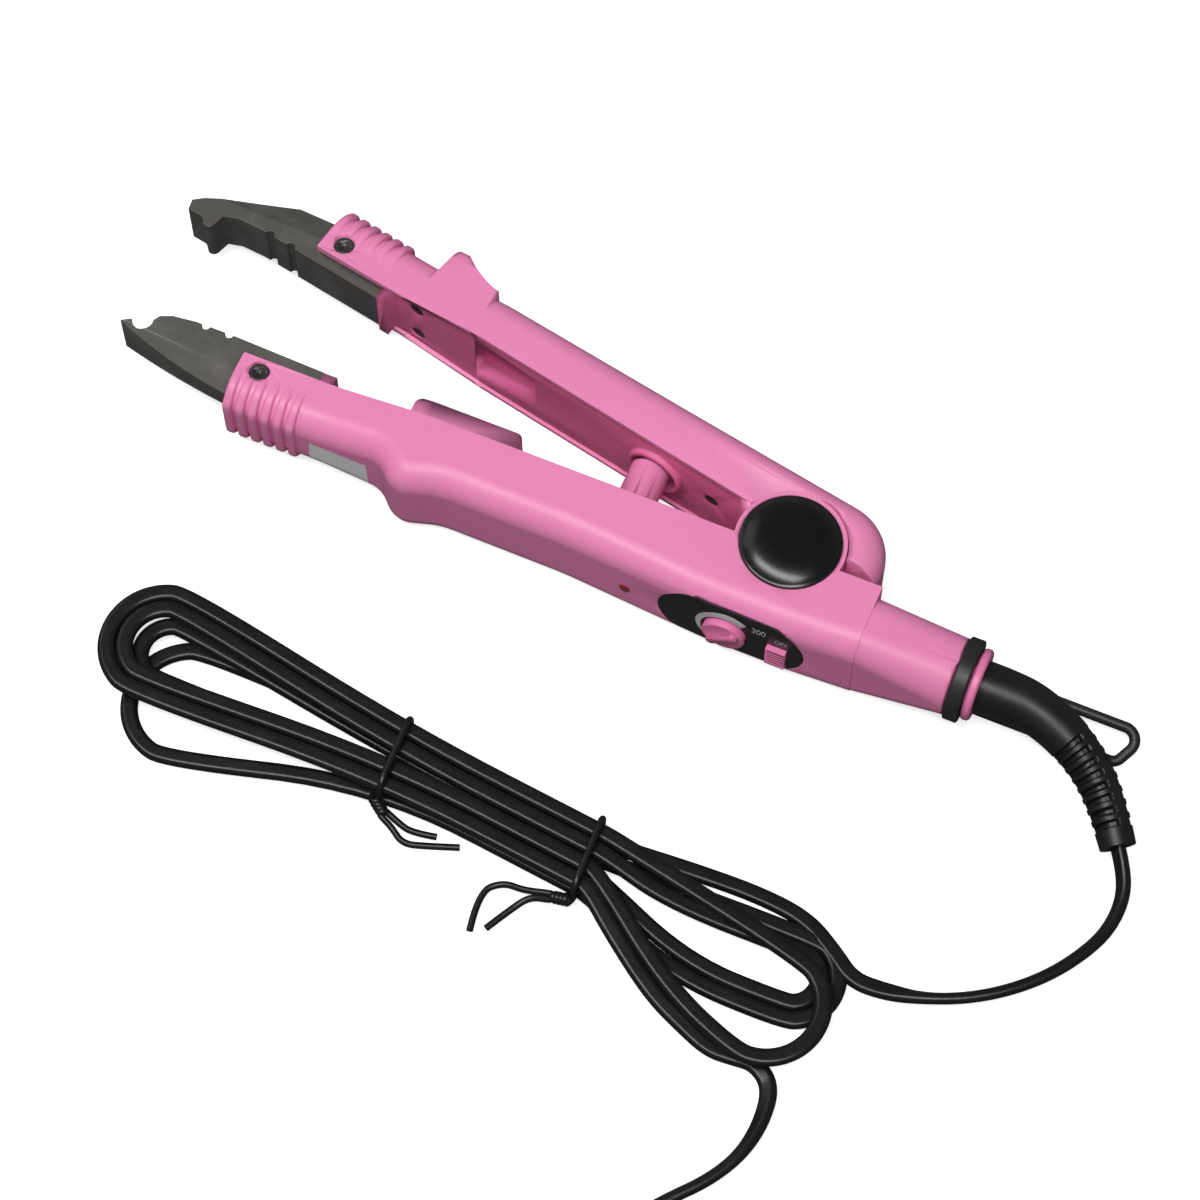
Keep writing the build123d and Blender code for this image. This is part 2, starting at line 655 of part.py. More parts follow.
def pivot_pin():
    """Steel hinge pin with a flat head underneath."""
    low = CAP_SEAT + 0.1
    head = disc(0, 0, PIN_HEAD_RADIUS, low, low + PIN_HEAD_HEIGHT - 0.2)
    return head + disc(0, 0, PIN_RADIUS, low, BODY_THICK - CAP_SEAT - 0.2)


def top_cap():
    """Glossy domed cap over the top of the hinge."""
    low = BODY_THICK - CAP_SEAT + 0.05
    rim = BODY_THICK + 0.3
    top = BODY_THICK + CAP_DOME
    arc = TangentArc((0, top), (CAP_RADIUS, rim), tangent=(1, 0))
    close = Polyline((CAP_RADIUS, rim), (CAP_RADIUS, low), (0, low), (0, top))
    return revolve(Plane.XZ * make_face(Wire([arc.edge(), *close.edges()])), Axis.Z)


def bottom_cap():
    """Flat cap flush with the underside of the hinge."""
    return disc(0, 0, CAP_RADIUS, 0, CAP_SEAT)


def control_panel():
    """Black oval plate set flush in the handle, with its dial hole and switch slot."""
    plate = panel_skin()
    plate -= rod(DIAL_X, 0, DIAL_RADIUS + DIAL_GAP, BOARD_FACE, CREST_FLAT - 5)
    return plate - switch_slot(SWITCH_GAP)


def temperature_dial():
    """Round knob with a raised pointer bar across its face."""
    face = CREST_FLAT - DIAL_RISE
    knob = rod(DIAL_X, 0, DIAL_RADIUS, WALL_INSIDE + 0.2, face)
    knob = fillet(knob.faces().sort_by(Axis.Y)[0].edges(), 0.6)
    bar = slab(DIAL_X - 1.1, DIAL_X + 1.1, face - DIAL_BAR, face + 0.5, DIAL_RADIUS - 1.0)
    bar = fillet(bar.edges().filter_by(Axis.Y), 0.8)
    knob += Pos(DIAL_X, 0, MID) * Rot(0, DIAL_REST_TURN, 0) * Pos(-DIAL_X, 0, -MID) * bar
    return knob - rod(DIAL_X, 0, SHAFT_RADIUS + PIN_FIT, BOARD_FACE, face + 1.2)


def dial_shaft():
    """Shaft of the temperature control, pressed in the knob."""
    return rod(DIAL_X, 0, SHAFT_RADIUS, BOARD_FACE - 1.0, CREST_FLAT - DIAL_RISE + 1.4)


def potentiometer():
    """Round temperature control on the circuit board."""
    front = WALL_INSIDE + 0.5
    case = rod(DIAL_X, 0, POT_RADIUS, BOARD_FACE, front)
    return case - rod(DIAL_X, 0, SHAFT_RADIUS + PIN_RUN, BOARD_FACE - 0.8, front - 1)


def switch_slider():
    """Ribbed button of the slide switch, with a shoulder inside the handle wall."""
    foot = BOARD_FACE - SWITCH_BODY - 0.1
    face = CREST_FLAT - SWITCH_RISE
    x0, x1 = SWITCH_X - SWITCH_WIDTH / 2, SWITCH_X + SWITCH_WIDTH / 2
    centre = SWITCH_TOP - SWITCH_LENGTH / 2
    button = Pos(0, 0, centre) * slab(x0, x1, face, foot, SWITCH_LENGTH / 2)
    button += Pos(0, 0, centre) * slab(x0 - 0.8, x1 + 0.8, WALL_INSIDE + 0.6, foot, SWITCH_LENGTH / 2)
    for step in (-2, -1, 0, 1, 2):
        z = centre + step * SWITCH_LENGTH / 6
        button -= Pos(0, 0, z) * slab(x0 - 1, x1 + 1, face - 1, face + 0.5, 0.3)
    return button


def switch_body():
    """Slide switch on the circuit board."""
    half = SWITCH_WIDTH / 2 + 1.6
    room = slab(SWITCH_X - half, SWITCH_X + half, BOARD_FACE - SWITCH_BODY, BOARD_FACE, 5.6)
    return Pos(0, 0, SWITCH_TOP - SWITCH_LENGTH / 2 - SWITCH_TRAVEL / 2 + 2.0) * room


def pilot_lens():
    """Round red lens of the pilot light."""
    lens = rod(LENS_X, -LENS_DROP, LENS_RADIUS, BOARD_FACE - 2.4, LENS_CREST - 0.3)
    return fillet(lens.faces().sort_by(Axis.Y)[0].edges(), 0.6)


def pilot_lamp():
    """Small lamp behind the lens, on the circuit board."""
    return rod(LENS_X, -LENS_DROP, LENS_RADIUS, BOARD_FACE, BOARD_FACE - 2.3)


def circuit_board():
    """Board that carries the temperature control, the switch and the lamp."""
    x0, x1 = BOARD_X - BOARD_LENGTH / 2, BOARD_X + BOARD_LENGTH / 2
    return slab(x0, x1, BOARD_FACE, BOARD_FACE + BOARD_THICK, BOARD_WIDTH / 2)


def leads(points, bend, aside):
    """A pair of insulated wires side by side along a route."""
    pair = []
    for sign in (-1, 1):
        step = Vector(*aside) * sign * (LEAD_RADIUS + 0.1)
        path = FilletPolyline(*[Vector(*p) + step for p in points], radius=bend)
        start = Plane(origin=path @ 0, z_dir=path % 0)
        pair.append(sweep(start * Circle(LEAD_RADIUS), path=path).solid())
    return Compound(pair)


def return_spring():
    """Coil spring in the post that pushes the arms open."""
    low = LOWER_FACE + 0.1 + SPRING_WIRE
    high = upper_rim(-SOCKET_X) + UPPER_RECESS + SOCKET_DEPTH - 1.5 - SPRING_WIRE
    coil = Helix((high - low) / SPRING_TURNS, high - low, SPRING_RADIUS)
    wire = Plane(origin=coil @ 0, z_dir=coil % 0) * Circle(SPRING_WIRE)
    spring = sweep(wire, path=coil, is_frenet=True)
    return Pos(-POST_X, low, MID) * Rot(-90, 0, 0) * spring


NECK_END = LOWER_REAR + NECK_LENGTH
FLANGE_START = NECK_END + RING_WIDTH + 2 * RING_GAP
RELIEF_START = FLANGE_START + FLANGE_WIDTH


def neck_section(x, inset):
    """Section of the rear neck: a rounded rectangle that turns nearly round."""
    share = (x - LOWER_REAR) / NECK_LENGTH
    top = LOWER_RIM - NECK_RIM_STEP
    bottom = HANDLE_Y + 0.6 + NECK_STEP
    centre = (top + bottom) / 2 * (1 - share) + AXIS_Y * share
    wide = (top - bottom) * (1 - share) + 2 * NECK_END_RADIUS * share - 2 * inset
    tall = (BODY_THICK - 2 * NECK_STEP) * (1 - share) + 2 * NECK_END_RADIUS * share - 2 * inset
    bend = EDGE_ROUND * (1 - share) + (NECK_END_RADIUS - 0.6) * share - inset
    return across(x) * Pos(centre, 0) * RectangleRounded(wide, tall, bend)


def rear_neck():
    """Neck between the handle and the cord, with the spigot that the ring turns on."""
    neck = loft([neck_section(LOWER_REAR, 0), neck_section(NECK_END, 0)], ruled=True)
    neck += extrude(across(NECK_END) * Pos(AXIS_Y, 0) * Circle(SPIGOT_RADIUS), FLANGE_START - NECK_END)
    inner_end = NECK_END - NECK_WALL
    neck -= loft([neck_section(LOWER_REAR, NECK_WALL), neck_section(inner_end, NECK_WALL)], ruled=True)
    bore = across(inner_end - 1) * Pos(AXIS_Y, 0) * Circle(RELIEF_ROOT + 0.1)
    return neck - extrude(bore, FLANGE_START - inner_end + 2)


def loop_place(angle):
    """Where a leg of the hanging loop leaves the ring."""
    turn = math.radians(angle)
    radius = RING_RADIUS + 0.2
    return AXIS_Y + radius * math.cos(turn), MID + radius * math.sin(turn)


def hanging_ring():
    """Band that turns on the neck's spigot."""
    start = NECK_END + RING_GAP
    band = across(start) * Pos(AXIS_Y, 0) * (Circle(RING_RADIUS) - Circle(SPIGOT_RADIUS + RING_GAP))
    ring = extrude(band, RING_WIDTH)
    rims = ring.edges().filter_by(GeomType.CIRCLE)
    outer = [edge for edge in rims if edge.radius > RING_RADIUS - 0.1]
    ring = fillet(outer, 0.5)
    path = loop_path(start + 0.4)
    return ring + sweep(Plane(origin=path @ 0, z_dir=path % 0) * Circle(LOOP_ROD), path=path)


def loop_path(start):
    """Centre line of the loop's wire, out along one leg and back along the other."""
    far_y, far_z = loop_place(LOOP_FAR_ANGLE)
    near_y, near_z = loop_place(LOOP_NEAR_ANGLE)
    end = NECK_END + LOOP_REACH
    return FilletPolyline(
        (start, far_y, far_z), (end + 1.2, far_y, far_z), (end - 3.4, near_y, near_z),
        (start, near_y, near_z), radius=[3.2, 2.6],
    )


def end_flange():
    """Disc that keeps the ring on its spigot."""
    face = Circle(FLANGE_RADIUS) - Circle(RELIEF_ROOT + 0.1)
    disc_end = extrude(across(FLANGE_START) * Pos(AXIS_Y, 0) * face, FLANGE_WIDTH)
    rims = [e for e in disc_end.edges().filter_by(GeomType.CIRCLE) if e.radius > FLANGE_RADIUS - 0.1]
    return chamfer(rims, 0.5)


CORD_LOW = CORD_RADIUS + CORD_LIFT
CORD_HIGH = CORD_LOW + 2 * CORD_RADIUS + LAYER_GAP
RELIEF_ROUTE = [
    (RELIEF_START, AXIS_Y, MID),
    (66.0, AXIS_Y, MID),
    (78.5, -15.6, 10.4),
    (88.5, -23.4, 7.4),
    (95.3, -33.2, 4.9),
]
RELIEF_BENDS = [22.0, 22.0, 24.0]


def across_path(path, share):
    """Plane square to a path, its X axis kept level."""
    place = path @ share
    along = path % share
    return Plane(origin=place, x_dir=(-along.Y, along.X, 0), z_dir=along)


def strain_relief():
    """Rubber bend guard: smooth at the handle, ringed toward the cord."""
    path = FilletPolyline(*RELIEF_ROUTE, radius=RELIEF_BENDS)
    length = path.length
    ringed = RELIEF_RIBS * RELIEF_RIB_PITCH
    smooth = length - ringed

    def radius_at(at):
        share = max(at - 8.0, 0.0) / (length - 8.0)
        return RELIEF_RADIUS + (RELIEF_END_RADIUS - RELIEF_RADIUS) * share

    rings = [(smooth * step / 6, radius_at(smooth * step / 6)) for step in range(7)]
    for index in range(RELIEF_RIBS):
        start = smooth + index * RELIEF_RIB_PITCH
        for part_way, drop in ((0.22, RELIEF_RIB_DEPTH), (0.42, RELIEF_RIB_DEPTH), (0.5, 0.0), (1.0, 0.0)):
            at = start + part_way * RELIEF_RIB_PITCH
            rings.append((at, radius_at(at) - drop))
    faces = [across_path(path, at / length) * Circle(radius) for at, radius in rings]
    guard = loft(faces, ruled=True)
    root = across(NECK_END - NECK_WALL - 2.0) * Pos(AXIS_Y, 0) * Circle(RELIEF_ROOT)
    return guard + extrude(root, RELIEF_START - NECK_END + NECK_WALL + 2.0)




def bent_tube(points, name):
    """Cord tube along straight runs and the largest tangent arcs that they allow."""
    spots = [Vector(*p) for p in points]
    radii = []
    for a, b, c in zip(spots, spots[1:], spots[2:]):
        turn = math.radians((b - a).get_angle(c - b))
        shorter = min((b - a).length, (c - b).length)
        radii.append(0.45 * shorter / math.tan(turn / 2))
    path = FilletPolyline(*points, radius=radii)
    tube = sweep(Plane(origin=path @ 0, z_dir=path % 0) * Circle(CORD_RADIUS), path=path)
    section = math.pi * CORD_RADIUS**2
    print(name, "length", round(path.length, 1), "radii", [round(r, 1) for r in radii])
    print(name, "volume", round(tube.volume, 1), "section times length", round(section * path.length, 1))
    return tube


def beyond(route, distance):
    """Place straight on past the end of a route."""
    end = Vector(*route[-1])
    return end + (end - Vector(*route[-2])).normalized() * distance


HANK_START = (50.5, -86.1, CORD_LOW)
FREE_RUN = [
    RELIEF_ROUTE[-1],
    tuple(beyond(RELIEF_ROUTE, 6.4)),
    (100.7, -44.7, 2.5),
    (100.0, -52.4, 1.8),
    (96.8, -59.6, CORD_LOW),
    (91.5, -67.5, CORD_LOW),
    (84.2, -74.7, CORD_LOW),
    (75.6, -80.5, CORD_LOW),
    (66.2, -84.4, CORD_LOW),
    (57.8, -86.0, CORD_LOW),
    HANK_START,
]


def biarc(p0, t0, p1, t1):
    """Two arcs that leave p0 along t0 and reach p1 along t1."""
    chord = p1 - p0
    both = t0 + t1
    bend = 2 * (1 - t0.dot(t1))
    reach = chord.dot(both)
    if bend < 1e-9:
        arm = chord.dot(chord) / (2 * reach)
    else:
        arm = (-reach + math.sqrt(reach * reach + bend * chord.dot(chord))) / bend
    knee0 = p0 + t0 * arm
    knee1 = p1 - t1 * arm
    middle = (knee0 + knee1) * 0.5
    pieces = []
    for start, along, end in ((p0, t0, middle), (middle, (knee1 - knee0).normalized(), p1)):
        step = end - start
        if step.cross(along).length < 1e-4 * step.length:
            pieces.append(Edge.make_line(start, end))
        else:
            pieces.append(Edge.make_tangent_arc(start, along, end))
    return pieces


WAIST_LEFT = Vector(-68.0, -78.4, 0)
WAIST_RIGHT = Vector(-17.0, -83.8, 0)
LOW_LEFT = (-119.2, -84.15)
HIGH_LEFT = (-132.4, -71.9)
LOW_RIGHT = (33.0, -92.0)
HIGH_RIGHT = (32.0, -95.5)
LOOPS = [
    (0, 1.5, LOW_LEFT, 14.35, LOW_RIGHT, 10.5),
    (0, 0.5, LOW_LEFT, 9.75, LOW_RIGHT, 6.3),
    (1, 0.5, HIGH_LEFT, 9.5, HIGH_RIGHT, 14.05),
    (1, 1.5, HIGH_LEFT, 14.1, None, 0.0),
]


def hank_stations():
    """Places and directions along the hank, from the handle's cord to the tail.

    Two loops wind inward on the table, then two wind outward on top of them. All are
    drawn in to the same lanes at the two ties.
    """
    along = (WAIST_RIGHT - WAIST_LEFT).normalized()
    aside = Vector(-along.Y, along.X, 0)
    west, east = -along, along
    found = [
        (Vector(*HANK_START), Vector(*HANK_START) - Vector(*FREE_RUN[-2])),
        (Vector(39.4, -78.1, CORD_LOW), Vector(-0.88, 0.47, 0)),
        (Vector(24.0, -75.4, CORD_LOW), Vector(-1, 0.02, 0)),
    ]
    for layer, lane, left, left_radius, right, right_radius in LOOPS:
        height = CORD_HIGH if layer else CORD_LOW
        tied = Vector(0, 0, height + WAIST_LIFT)
        side = aside * lane * LANE_PITCH
        found.append((WAIST_RIGHT + side + tied, west))
        found.append((WAIST_LEFT + side + tied, west))
        x, y = left
        found.append((Vector(x, y + left_radius, height), Vector(-1, 0, 0)))
        found.append((Vector(x - left_radius, y, height), Vector(0, -1, 0)))
        found.append((Vector(x, y - left_radius, height), Vector(1, 0, 0)))
        found.append((WAIST_LEFT - side + tied, east))
        found.append((WAIST_RIGHT - side + tied, east))
        if right is None:
            continue
        x, y = right
        found.append((Vector(x, y - right_radius, height), Vector(1, 0, 0)))
        found.append((Vector(x + right_radius, y, height), Vector(0, 1, 0)))
        found.append((Vector(x, y + right_radius, height), Vector(-1, 0, 0)))
        if (layer, lane) == (0, 0.5):
            found.append((Vector(6.0, -86.2, CORD_HIGH), Vector(-1, 0.03, 0)))
    found.append((Vector(7.0, -106.0, CORD_HIGH), Vector(0.86, -0.5, 0)))
    found.append((Vector(29.0, -115.2, CORD_LOW), Vector(1, -0.15, 0)))
    found.append((Vector(*TAIL_ROUTE[0]), Vector(*TAIL_ROUTE[1]) - Vector(*TAIL_ROUTE[0])))
    return [(place, way.normalized()) for place, way in found]


TAIL_ROUTE = [
    (42.4, -119.6, CORD_LOW),
    (43.3, -126.0, CORD_LOW),
    (42.0, -134.4, CORD_LOW),
    (38.2, -142.6, CORD_LOW),
    (32.2, -150.6, CORD_LOW),
    (26.8, -158.6, CORD_LOW),
    (25.9, -168.6, CORD_LOW),
    (30.6, -178.2, 2.7),
    (39.8, -184.2, 5.4),
    (51.0, -185.6, PLUG_HEIGHT),
    (61.0, -185.6, PLUG_HEIGHT),
]


def least_gap(path):
    """Least free gap between two parts of a wound cord, measured on points."""
    count = int(path.length / 1.5)
    spots = [path.position_at(i / count) for i in range(count + 1)]
    flat = [(p.X, p.Y, p.Z) for p in spots]
    step = path.length / count
    skip = int(5 * CORD_RADIUS / step) + 2
    best = min(
        math.dist(flat[i], flat[j])
        for i in range(0, len(flat))
        for j in range(i + skip, len(flat))
        if abs(flat[i][0] - flat[j][0]) < 12
    )
    return best - 2 * CORD_RADIUS


def cord_hank():
    """The wound cord: one tube with all its loops."""
    spots = hank_stations()
    edges = []
    for (p0, t0), (p1, t1) in zip(spots, spots[1:]):
        edges.extend(biarc(p0, t0, p1, t1))
    path = Wire(edges)
    print("hank length", round(path.length, 1), "least gap", round(least_gap(path), 2))
    start = Plane(origin=spots[0][0], z_dir=spots[0][1])
    tube = sweep(start * Circle(CORD_RADIUS), path=path)
    print("hank volume", round(tube.volume), round(math.pi * CORD_RADIUS**2 * path.length))
    return tube


def twist_tie(waist, tails):
    """Wire tie around the whole bundle at a waist, with its twisted knot and two ends."""
    along = (WAIST_RIGHT - WAIST_LEFT).normalized()
    aside = Vector(-along.Y, along.X, 0)
    reach = 1.5 * LANE_PITCH + CORD_RADIUS + TIE_GAP + TIE_RADIUS
    low = CORD_LOW + WAIST_LIFT - CORD_RADIUS - TIE_GAP - TIE_RADIUS
    high = CORD_HIGH + WAIST_LIFT + CORD_RADIUS + TIE_GAP + TIE_RADIUS
    frame = Plane(origin=waist, x_dir=aside, z_dir=along)
    corners = [(-reach, low), (reach, low), (reach, high), (-reach, high)]
    ring = FilletPolyline(*corners, radius=2.2, close=True)
    path = frame * Wire(ring.edges())
    start = Plane(origin=path @ 0, z_dir=path % 0)
    tie = sweep(start * Circle(TIE_RADIUS), path=path)
    knot = waist - aside * (reach + 0.9) + Vector(0, 0, 3.2)
    tie += Pos(*knot) * Sphere(TIE_KNOT)
    for middle, end in tails:
        bend = FilletPolyline(tuple(knot), middle, end, radius=5.0)
        wire = Plane(origin=bend @ 0, z_dir=bend % 0) * Circle(TIE_RADIUS)
        tie += sweep(wire, path=bend)
    return tie


def plug_section(x, wide, tall, bend):
    """Section of the plug body at x."""
    place = Plane(origin=(x, TAIL_ROUTE[-1][1], PLUG_HEIGHT), x_dir=(0, 1, 0), z_dir=(1, 0, 0))
    return place * RectangleRounded(wide, tall, bend)


def plug_body():
    """Moulded two-pin plug: a slim neck at the cord that widens to the pin face."""
    start = TAIL_ROUTE[-1][0]
    body = loft([
        plug_section(start, 9.0, 9.0, 3.0),
        plug_section(start + PLUG_LENGTH * 0.3, 11.0, 10.0, 3.0),
        plug_section(start + PLUG_LENGTH * 0.65, 22.0, 15.0, 3.0),
        plug_section(start + PLUG_LENGTH, 24.0, 16.4, 3.0),
    ], ruled=True)
    for blade in plug_blade_forms():
        body -= blade
    return body


def plug_blade_forms():
    """The two flat pins of the plug."""
    end = TAIL_ROUTE[-1][0] + PLUG_LENGTH
    pins = []
    for offset_y in (-BLADE_SPACING / 2, BLADE_SPACING / 2):
        place = Pos(end + BLADE_LENGTH / 2 - BLADE_ROOT / 2, TAIL_ROUTE[-1][1] + offset_y, PLUG_HEIGHT)
        pins.append(place * Box(BLADE_LENGTH + BLADE_ROOT, BLADE_THICK, BLADE_WIDTH))
    return pins


LEFT_TAILS = [((-58.5, -94.6, 1.2), (-44.5, -91.6, 0.8)), ((-60.0, -92.6, 1.4), (-49.0, -93.0, 0.8))]
RIGHT_TAILS = [((-30.5, -97.0, 1.4), (-33.0, -109.0, 0.8)), ((-25.0, -98.0, 1.4), (-30.5, -107.0, 0.8))]


def build():
    """Builds every sub-part and writes it."""
    lower_form, upper_form = lower_jaw_form()[0], upper_jaw_form()[0]
    saved("lower_shell", lower_shell())
    saved("lower_inner_cover", lower_cover())
    saved("lower_cover_screws", cover_screws(LOWER_COVER_SCREWS, lower_rim, LOWER_RECESS, -1))
    saved("lower_jaw", lower_jaw())
    saved("lower_jaw_insulator", insulator(LOWER_CREST, LOWER_BENDS, lower_rim, -1, lower_form, LOWER_SCREW))
    saved("lower_heater", heater(LOWER_RIM + JAW_STAND - LOWER_HEATER_IN))
    saved("lower_jaw_screw", screw(*LOWER_SCREW, NOSE_TOP - SCREW_SINK, SCREW_LENGTH))
    saved("lower_leads", leads(LOWER_LEADS, 30.0, (0, 0, 1)))
    saved("upper_shell", turned_open(upper_shell()))
    saved("upper_inner_cover", turned_open(upper_cover()))
    saved("upper_cover_screws", turned_open(cover_screws(UPPER_COVER_SCREWS, upper_rim, UPPER_RECESS, 1)))
    saved("upper_jaw", turned_open(upper_jaw()))
    holder = insulator(UPPER_CREST, UPPER_BENDS, upper_rim, 1, upper_form, UPPER_SCREW)
    saved("upper_jaw_insulator", turned_open(holder))
    saved("upper_heater", turned_open(heater(CLOSED_LINE + UPPER_HEATER_IN)))
    saved("upper_jaw_screw", turned_open(screw(*UPPER_SCREW, NOSE_TOP - SCREW_SINK, SCREW_LENGTH)))
    saved("upper_leads", turned_open(leads(UPPER_LEADS, 30.0, (0, 1, 0))))
    saved("pivot_pin", pivot_pin())
    saved("hinge_cap_top", top_cap())
    saved("hinge_cap_bottom", bottom_cap())
    saved("return_spring", return_spring())
    saved("control_panel", control_panel())
    saved("temperature_dial", temperature_dial())
    saved("dial_shaft", dial_shaft())
    saved("temperature_control", potentiometer())
    saved("switch_slider", switch_slider())
    saved("switch_body", switch_body())
    saved("pilot_lens", pilot_lens())
    saved("pilot_lamp", pilot_lamp())
    saved("circuit_board", circuit_board())
    saved("supply_leads", leads(SUPPLY_LEADS, 20.0, (0, 0, 1)))
    saved("rear_neck", rear_neck())
    saved("hanging_loop", hanging_ring())
    saved("end_flange", end_flange())
    saved("strain_relief", strain_relief())
    saved("cord_free_run", bent_tube(FREE_RUN, "free run"))
    saved("cord_hank", cord_hank())
    saved("cord_tail", bent_tube(TAIL_ROUTE, "tail"))
    saved("tie_left", twist_tie(WAIST_LEFT, LEFT_TAILS))
    saved("tie_right", twist_tie(WAIST_RIGHT, RIGHT_TAILS))
    saved("plug_body", plug_body())
    saved("plug_blades", Compound([pin.solid() for pin in plug_blade_forms()]))


LEAD_LINE = BOARD_FACE + BOARD_THICK + LEAD_RADIUS + 0.1
LEADS_START = NOSE_X + JAW_ROOT + 0.3
LOWER_LEADS = [(LEADS_START, -9.5, MID), (NOSE_X + 40.0, LEAD_LINE, MID), (-34.0, LEAD_LINE, MID)]
UPPER_LEADS = [
    (LEADS_START, 12.6, MID + 1.0),
    (NOSE_X + 27.0, 13.4, MID + 1.0),
    (-90.0, 12.2, MID + 9.0),
    (COVER_END - 1.5, 12.2, MID + 9.0),
]
SUPPLY_LEADS = [(11.0, LEAD_LINE, MID), (22.0, LEAD_LINE + 0.4, MID), (NECK_END - 4.5, AXIS_Y, MID)]

build()
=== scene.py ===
"""Hair extension iron with its mains lead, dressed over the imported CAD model.

Every place is in the model's own frame: +X runs along the lower arm toward the cord, +Y from
the lower arm toward the upper one, +Z up. The sizes in the classes are millimetres and are
turned into metres where a mesh is made. The finishes and the lamps are given in metres.
"""
import logging
import math
from dataclasses import dataclass
from enum import Enum
from typing import Callable, Sequence

import bmesh
import bpy
from mathutils import Matrix, Vector
from mathutils.bvhtree import BVHTree


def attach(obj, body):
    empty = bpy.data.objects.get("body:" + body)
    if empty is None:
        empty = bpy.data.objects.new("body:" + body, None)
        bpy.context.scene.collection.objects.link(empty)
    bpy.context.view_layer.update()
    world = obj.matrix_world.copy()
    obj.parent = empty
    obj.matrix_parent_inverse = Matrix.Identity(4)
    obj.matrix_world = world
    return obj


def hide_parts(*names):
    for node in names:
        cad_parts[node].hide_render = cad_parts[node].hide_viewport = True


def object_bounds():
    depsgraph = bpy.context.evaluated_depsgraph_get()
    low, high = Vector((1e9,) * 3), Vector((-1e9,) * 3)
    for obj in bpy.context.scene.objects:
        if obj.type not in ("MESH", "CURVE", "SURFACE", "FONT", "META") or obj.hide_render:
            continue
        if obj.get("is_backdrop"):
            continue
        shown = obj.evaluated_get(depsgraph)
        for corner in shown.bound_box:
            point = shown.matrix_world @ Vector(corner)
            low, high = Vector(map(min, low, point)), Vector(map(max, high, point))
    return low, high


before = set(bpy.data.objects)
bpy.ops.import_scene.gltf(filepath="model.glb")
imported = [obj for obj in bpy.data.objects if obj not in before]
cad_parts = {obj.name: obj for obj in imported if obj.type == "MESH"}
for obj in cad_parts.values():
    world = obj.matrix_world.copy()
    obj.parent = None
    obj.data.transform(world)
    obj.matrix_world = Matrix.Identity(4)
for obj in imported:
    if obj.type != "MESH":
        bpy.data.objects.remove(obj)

Piece = bpy.types.Object
Shape = bmesh.types.BMesh
Socket = bpy.types.NodeSocket
Pair = tuple[float, float]
Place = tuple[float, float, float]
Route = tuple[Place, ...]
Colour = tuple[float, float, float]

LOG = logging.getLogger("iron")
CAD_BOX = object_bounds()
MM = 0.001
FULL_TURN = 2 * math.pi
UP = Vector((0, 0, 1))
SHARP_ANGLE = 28.0
MERGE_DISTANCE = 0.0000025
SHEET_Y = -30.0
WAIST_LEFT: Pair = (-68.0, -78.4)
WAIST_RIGHT: Pair = (-17.0, -83.8)
PLUG_ROOT: Place = (61.0, -185.6, 8.7)
PINK: Colour = (0.83, 0.255, 0.485)
DEEP_PINK: Colour = (0.78, 0.215, 0.435)


class Body(Enum):
    """The rigid bodies that pieces ride on."""

    LOWER = "lower_arm"
    UPPER = "upper_arm"
    DIAL = "dial"
    SWITCH = "switch"
    LOOP = "loop"


class Signal:
    """A value socket that adds Math nodes when it is used in an expression."""

    def __init__(self, graph: "Graph", socket: Socket) -> None:
        """Wraps a socket of a graph."""
        self.graph = graph
        self.socket = socket

    def _maths(self, operation: str, first: object, second: object) -> "Signal":
        """Result of a new Math node on two signals or numbers."""
        made = self.graph.node("ShaderNodeMath", {0: first, 1: second}, operation=operation)
        return Signal(self.graph, made.outputs[0])

    def __add__(self, other: object) -> "Signal":
        """Sum."""
        return self._maths("ADD", self, other)

    __radd__ = __add__

    def __mul__(self, other: object) -> "Signal":
        """Product."""
        return self._maths("MULTIPLY", self, other)

    def __sub__(self, other: object) -> "Signal":
        """Difference."""
        return self._maths("SUBTRACT", self, other)

    def __rsub__(self, other: object) -> "Signal":
        """Difference from a number."""
        return self._maths("SUBTRACT", other, self)

    def held(self) -> "Signal":
        """The signal kept between nought and one."""
        low = self._maths("MAXIMUM", self, 0.0)
        return low._maths("MINIMUM", low, 1.0)

    def spread(self, start: float, gain: float) -> "Signal":
        """Nought up to a start, then rising by the gain to one."""
        return ((self - start) * gain).held()

    def swing(self, amount: float) -> "Signal":
        """A noise's swing about its half, scaled."""
        return (self - 0.5) * amount


